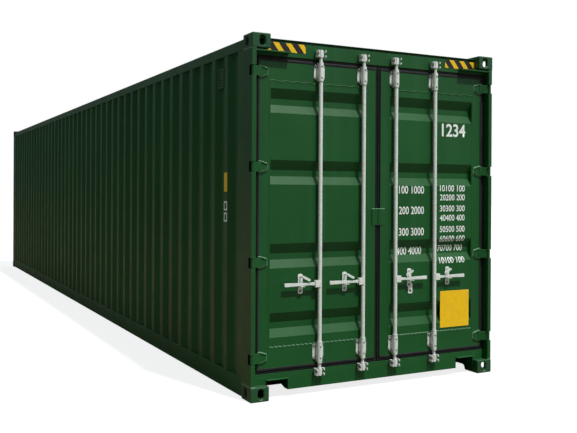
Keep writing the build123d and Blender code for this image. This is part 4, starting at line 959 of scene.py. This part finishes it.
def add_gear_bolts():
    """Four bolts and two studs in each bearing bracket, and one bolt at the foot of each handle retainer."""
    plate_x = LEAF_FACE_X + GEAR_PLATE_THICKNESS
    stud_x = HAT_FRONT_X - HAT_STUD_SUNK
    for side, sign in SIDES.items():
        shape = bmesh.new()
        for offset in BAR_OFFSETS.values():
            for level in BRACKET_LEVELS:
                for number, (across, rise) in enumerate(BRACKET_BOLTS):
                    centre = Vector((plate_x, sign * offset + across, level + rise))
                    turn = 0.3 + 1.3 * number + offset
                    bolt_head(shape, centre, OUT, radius=0.0095, height=0.0090, turn=turn)
                for rise in (-HAT_STUD_RISE, HAT_STUD_RISE):
                    centre = Vector((stud_x, sign * offset, level + rise))
                    dome_head(shape, centre, OUT, radius=0.0085, height=0.0065)
            centre = Vector((plate_x, sign * (offset + RETAINER_OFFSET), RETAINER_BOLT_Z))
            bolt_head(shape, centre, OUT, radius=0.0085, height=0.0085, turn=offset)
        make_object(shape, f"{side}_gear_bolts", f"{side}_leaf", SHADED_BOLT_STEEL)


def add_leaf_welds():
    """Weld runs between each leaf's sheet and its frame, stitched along the foot."""
    foot, top = PANEL_Z
    for side, sign in SIDES.items():
        inner_y, outer_y = sign * PANEL_Y[0], sign * PANEL_Y[1]
        seed = 11 if sign < 0 else 29
        shape = bmesh.new()
        face_weld(shape, (inner_y, top), (outer_y, top), radius=0.0046, wobble=0.0045, seed=seed + 1,
                  ripple=0.008, weave=0.108, sag=0.0036)
        for index, y in enumerate((inner_y, outer_y)):
            face_weld(shape, (y, foot), (y, top), radius=0.0032, wobble=0.0010, seed=seed + 5 + index,
                      ripple=0.016)
        make_object(shape, f"{side}_leaf_welds", f"{side}_leaf", "container_green", WELD_SMOOTH)

        stitches = bmesh.new()
        for number in range(round(abs(outer_y - inner_y) / FOOT_WELD_PITCH)):
            start = inner_y + sign * FOOT_WELD_PITCH * number
            end = start + sign * FOOT_WELD_LENGTH
            face_weld(stitches, (start, foot - FOOT_WELD_RISE), (end, foot + FOOT_WELD_RISE), radius=0.0050,
                      wobble=0.0004, seed=seed + number, ripple=0.006)
        make_object(stitches, f"{side}_foot_weld", f"{side}_leaf", WELD_DUST_AND_HIGHLIGHT_PAINT, WELD_SMOOTH)


def add_hinge_welds():
    """Weld runs round the hinge blades, and above and below the cover plates of the centre gap."""
    for side, sign in SIDES.items():
        plate_low, plate_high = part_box(f"{side}_cover_plate")
        shape = bmesh.new()
        for number, level in enumerate(HINGE_LEVELS):
            outline = [(sign * y, level + half) for y, half in BLADE_STATIONS]
            outline += [(sign * y, level - half) for y, half in reversed(BLADE_STATIONS)]
            for index, (start, end) in enumerate(zip(outline, outline[1:])):
                face_weld(shape, start, end, radius=0.0070, wobble=0.0006, seed=80 + 10 * number + index,
                          ripple=0.008)
        for index, level in enumerate((plate_low.z, plate_high.z)):
            face_weld(shape, (plate_low.y, level), (plate_high.y, level), radius=0.0060, wobble=0.0006,
                      seed=130 + index, ripple=0.008)
        make_object(shape, f"{side}_hinge_welds", f"{side}_leaf", WELD_DUST_AND_HIGHLIGHT_PAINT, WELD_SMOOTH)


def add_frame_welds():
    """Weld runs where the door posts and the bottom rails meet the castings."""
    top_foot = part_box("top_corner_castings")[0].z
    post_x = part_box("left_door_post")[1].x
    post_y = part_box("right_door_post")[1].y
    rail_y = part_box("bottom_side_rails")[1].y
    shape = bmesh.new()
    for sign in SIDES.values():
        aside = Vector((0.0, sign, 0.0))
        for number, level in enumerate((CASTING_HEIGHT, top_foot)):
            seed = 40 + number + (2 if sign > 0 else 0)
            edge = Vector((post_x, sign * post_y, level))
            inner = Vector((post_x, sign * (post_y - POST_WELD_WIDTH), level))
            rear = Vector((CASTING_BACK_X + WELD_END_GAP, sign * post_y, level))
            weld_bead(shape, inner, edge, OUT, radius=0.0045, wobble=0.0008, seed=seed)
            weld_bead(shape, rear, edge, aside, radius=0.0045, wobble=0.0008, seed=seed + 7)
        for end in (-1.0, 1.0):
            foot = Vector((end * CASTING_BACK_X, sign * rail_y, RAIL_WELD_FOOT))
            top = Vector((end * CASTING_BACK_X, sign * rail_y, CASTING_HEIGHT - WELD_END_GAP))
            weld_bead(shape, foot, top, aside, radius=0.0050, wobble=0.0008, seed=60 + int(sign + 2 * end))
    make_object(shape, "frame_welds", "container_frame", WELD_DUST_AND_HIGHLIGHT_PAINT, WELD_SMOOTH)


def add_floor_screws():
    """Rows of countersunk screw heads across the floor."""
    low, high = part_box("floor_boards")
    length = high.x - low.x - 2 * SCREW_END_GAP
    rows = int(length / SCREW_PITCH)
    shape = bmesh.new()
    for row in range(rows + 1):
        x = low.x + SCREW_END_GAP + row * length / rows
        for column in SCREW_COLUMNS:
            for sign in SIDES.values():
                dome_head(shape, Vector((x, sign * column, high.z)), UP, radius=0.0065, height=0.0010)
    make_object(shape, "floor_screws", "container_frame", "galvanised_gear")


def add_header_lip():
    """A narrow drip edge over the stepped-back top of the header, between the castings."""
    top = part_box("door_header")[1].z
    low = (LEAF_FACE_X - HEADER_SETBACK, -CASTING_INNER_Y, top - HEADER_LIP_HEIGHT)
    high = (LEAF_FACE_X + HEADER_LIP_REACH, CASTING_INNER_Y, top)
    shape = bmesh.new()
    bevelled_box(shape, low, high, HEADER_LIP_CHAMFER)
    make_object(shape, "header_lip", "container_frame", "container_green")


def add_stripes():
    """Black and yellow bars on the header, near both top corners."""
    for side, (low, high) in STRIPE_SPANS.items():
        backing = bmesh.new()
        slab(backing, (LEAF_FACE_X, low, STRIPE_FOOT), (LEAF_FACE_X + STRIPE_BACKING_LIFT, high, STRIPE_TOP))
        make_object(backing, f"{side}_stripe_backing", "container_frame", MARK_BLACK)

        bars = bmesh.new()
        start = low - STRIPE_LEAN - STRIPE_START
        while start < high:
            corners = [
                (start, STRIPE_TOP),
                (start + STRIPE_WIDTH, STRIPE_TOP),
                (start + STRIPE_WIDTH + STRIPE_LEAN, STRIPE_FOOT),
                (start + STRIPE_LEAN, STRIPE_FOOT),
            ]
            clipped = clip_span(corners, low, high)
            if len(clipped) >= 3:
                bars.faces.new([bars.verts.new((LEAF_FACE_X + STRIPE_BAR_LIFT, y, z)) for y, z in clipped])
            start += STRIPE_PITCH
        make_object(bars, f"{side}_stripe_bars", "container_frame", MARK_YELLOW)


def clip_span(points, low, high):
    """An outline of (y, z) points cut to low <= y <= high."""
    for limit, keep_above in ((low, True), (high, False)):
        result = []
        for index, current in enumerate(points):
            following = points[(index + 1) % len(points)]
            inside = current[0] >= limit if keep_above else current[0] <= limit
            next_inside = following[0] >= limit if keep_above else following[0] <= limit
            if inside:
                result.append(current)
            if inside != next_inside:
                share = (limit - current[0]) / (following[0] - current[0])
                result.append((limit, current[1] + share * (following[1] - current[1])))
        points = result
    return points


def add_marks():
    """Plain white numerals and a bare yellow plate on the right leaf."""
    body = "right_leaf"
    place_numerals("right_number", body, "1234", BIG_NUMBER_Y, BIG_NUMBER_Z, BOLD_STROKE)
    for index, (words, foot) in enumerate(LEFT_COLUMN_ROWS):
        rise = (foot, foot + LEFT_COLUMN_HEIGHT)
        place_numerals(f"left_column_{index}", body, words, LEFT_COLUMN_Y, rise, PLAIN_STROKE)
    for index, foot in enumerate(RIGHT_COLUMN_FEET):
        digit = index % RIGHT_COLUMN_DIGITS + 1
        words = f"{digit}0{digit}00 {digit}00"
        rise = (foot, foot + RIGHT_COLUMN_HEIGHT)
        place_numerals(f"right_column_{index}", body, words, RIGHT_COLUMN_Y, rise, PLAIN_STROKE)

    plate_x = LEAF_FACE_X + PLATE_LIFT
    plate = bmesh.new()
    slab(plate, (LEAF_FACE_X, PLATE_Y[0], PLATE_Z[0]), (plate_x, PLATE_Y[1], PLATE_Z[1]), PLATE_CHAMFER)
    make_object(plate, "bare_plate", body, MARK_YELLOW)
    rivets = bmesh.new()
    for y in PLATE_RIVETS_Y:
        for z in PLATE_RIVETS_Z:
            dome_head(rivets, Vector((plate_x, y, z)), OUT, radius=0.005, height=0.0025)
    make_object(rivets, "bare_plate_rivets", body, "galvanised_gear")


def add_side_marks():
    """A bare yellow label and two open white frames on a rib's crest of the left side, near the doors."""
    x_low, x_high = LABEL_X
    wall_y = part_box("left_side_wall")[0].y
    label = bmesh.new()
    bevelled_box(label, (x_low, wall_y - LABEL_LIFT, LABEL_Z[0]), (x_high, wall_y, LABEL_Z[1]), LABEL_CHAMFER)
    make_object(label, "side_label", "container_frame", MARK_YELLOW)

    front_y = wall_y - SIDE_FRAME_LIFT
    frames = bmesh.new()
    for z_low, z_high in SIDE_FRAMES_Z:
        for x1, z1, x2, z2 in border_bars((x_low, z_low), (x_high, z_high), SIDE_FRAME_STROKE):
            bevelled_box(frames, (x1, front_y, z1), (x2, wall_y, z2), SIDE_FRAME_CHAMFER)
    make_object(frames, "side_frames", "container_frame", MARK_WHITE)


def main():
    dress_nodes()
    add_camera()
    add_sun()
    add_world()
    add_floor()
    add_gaskets()
    add_seal_strips()
    add_gear_bolts()
    add_leaf_welds()
    add_hinge_welds()
    add_frame_welds()
    add_floor_screws()
    add_header_lip()
    add_stripes()
    add_marks()
    add_side_marks()


main()
bpy.context.scene.view_settings.view_transform = "Standard"
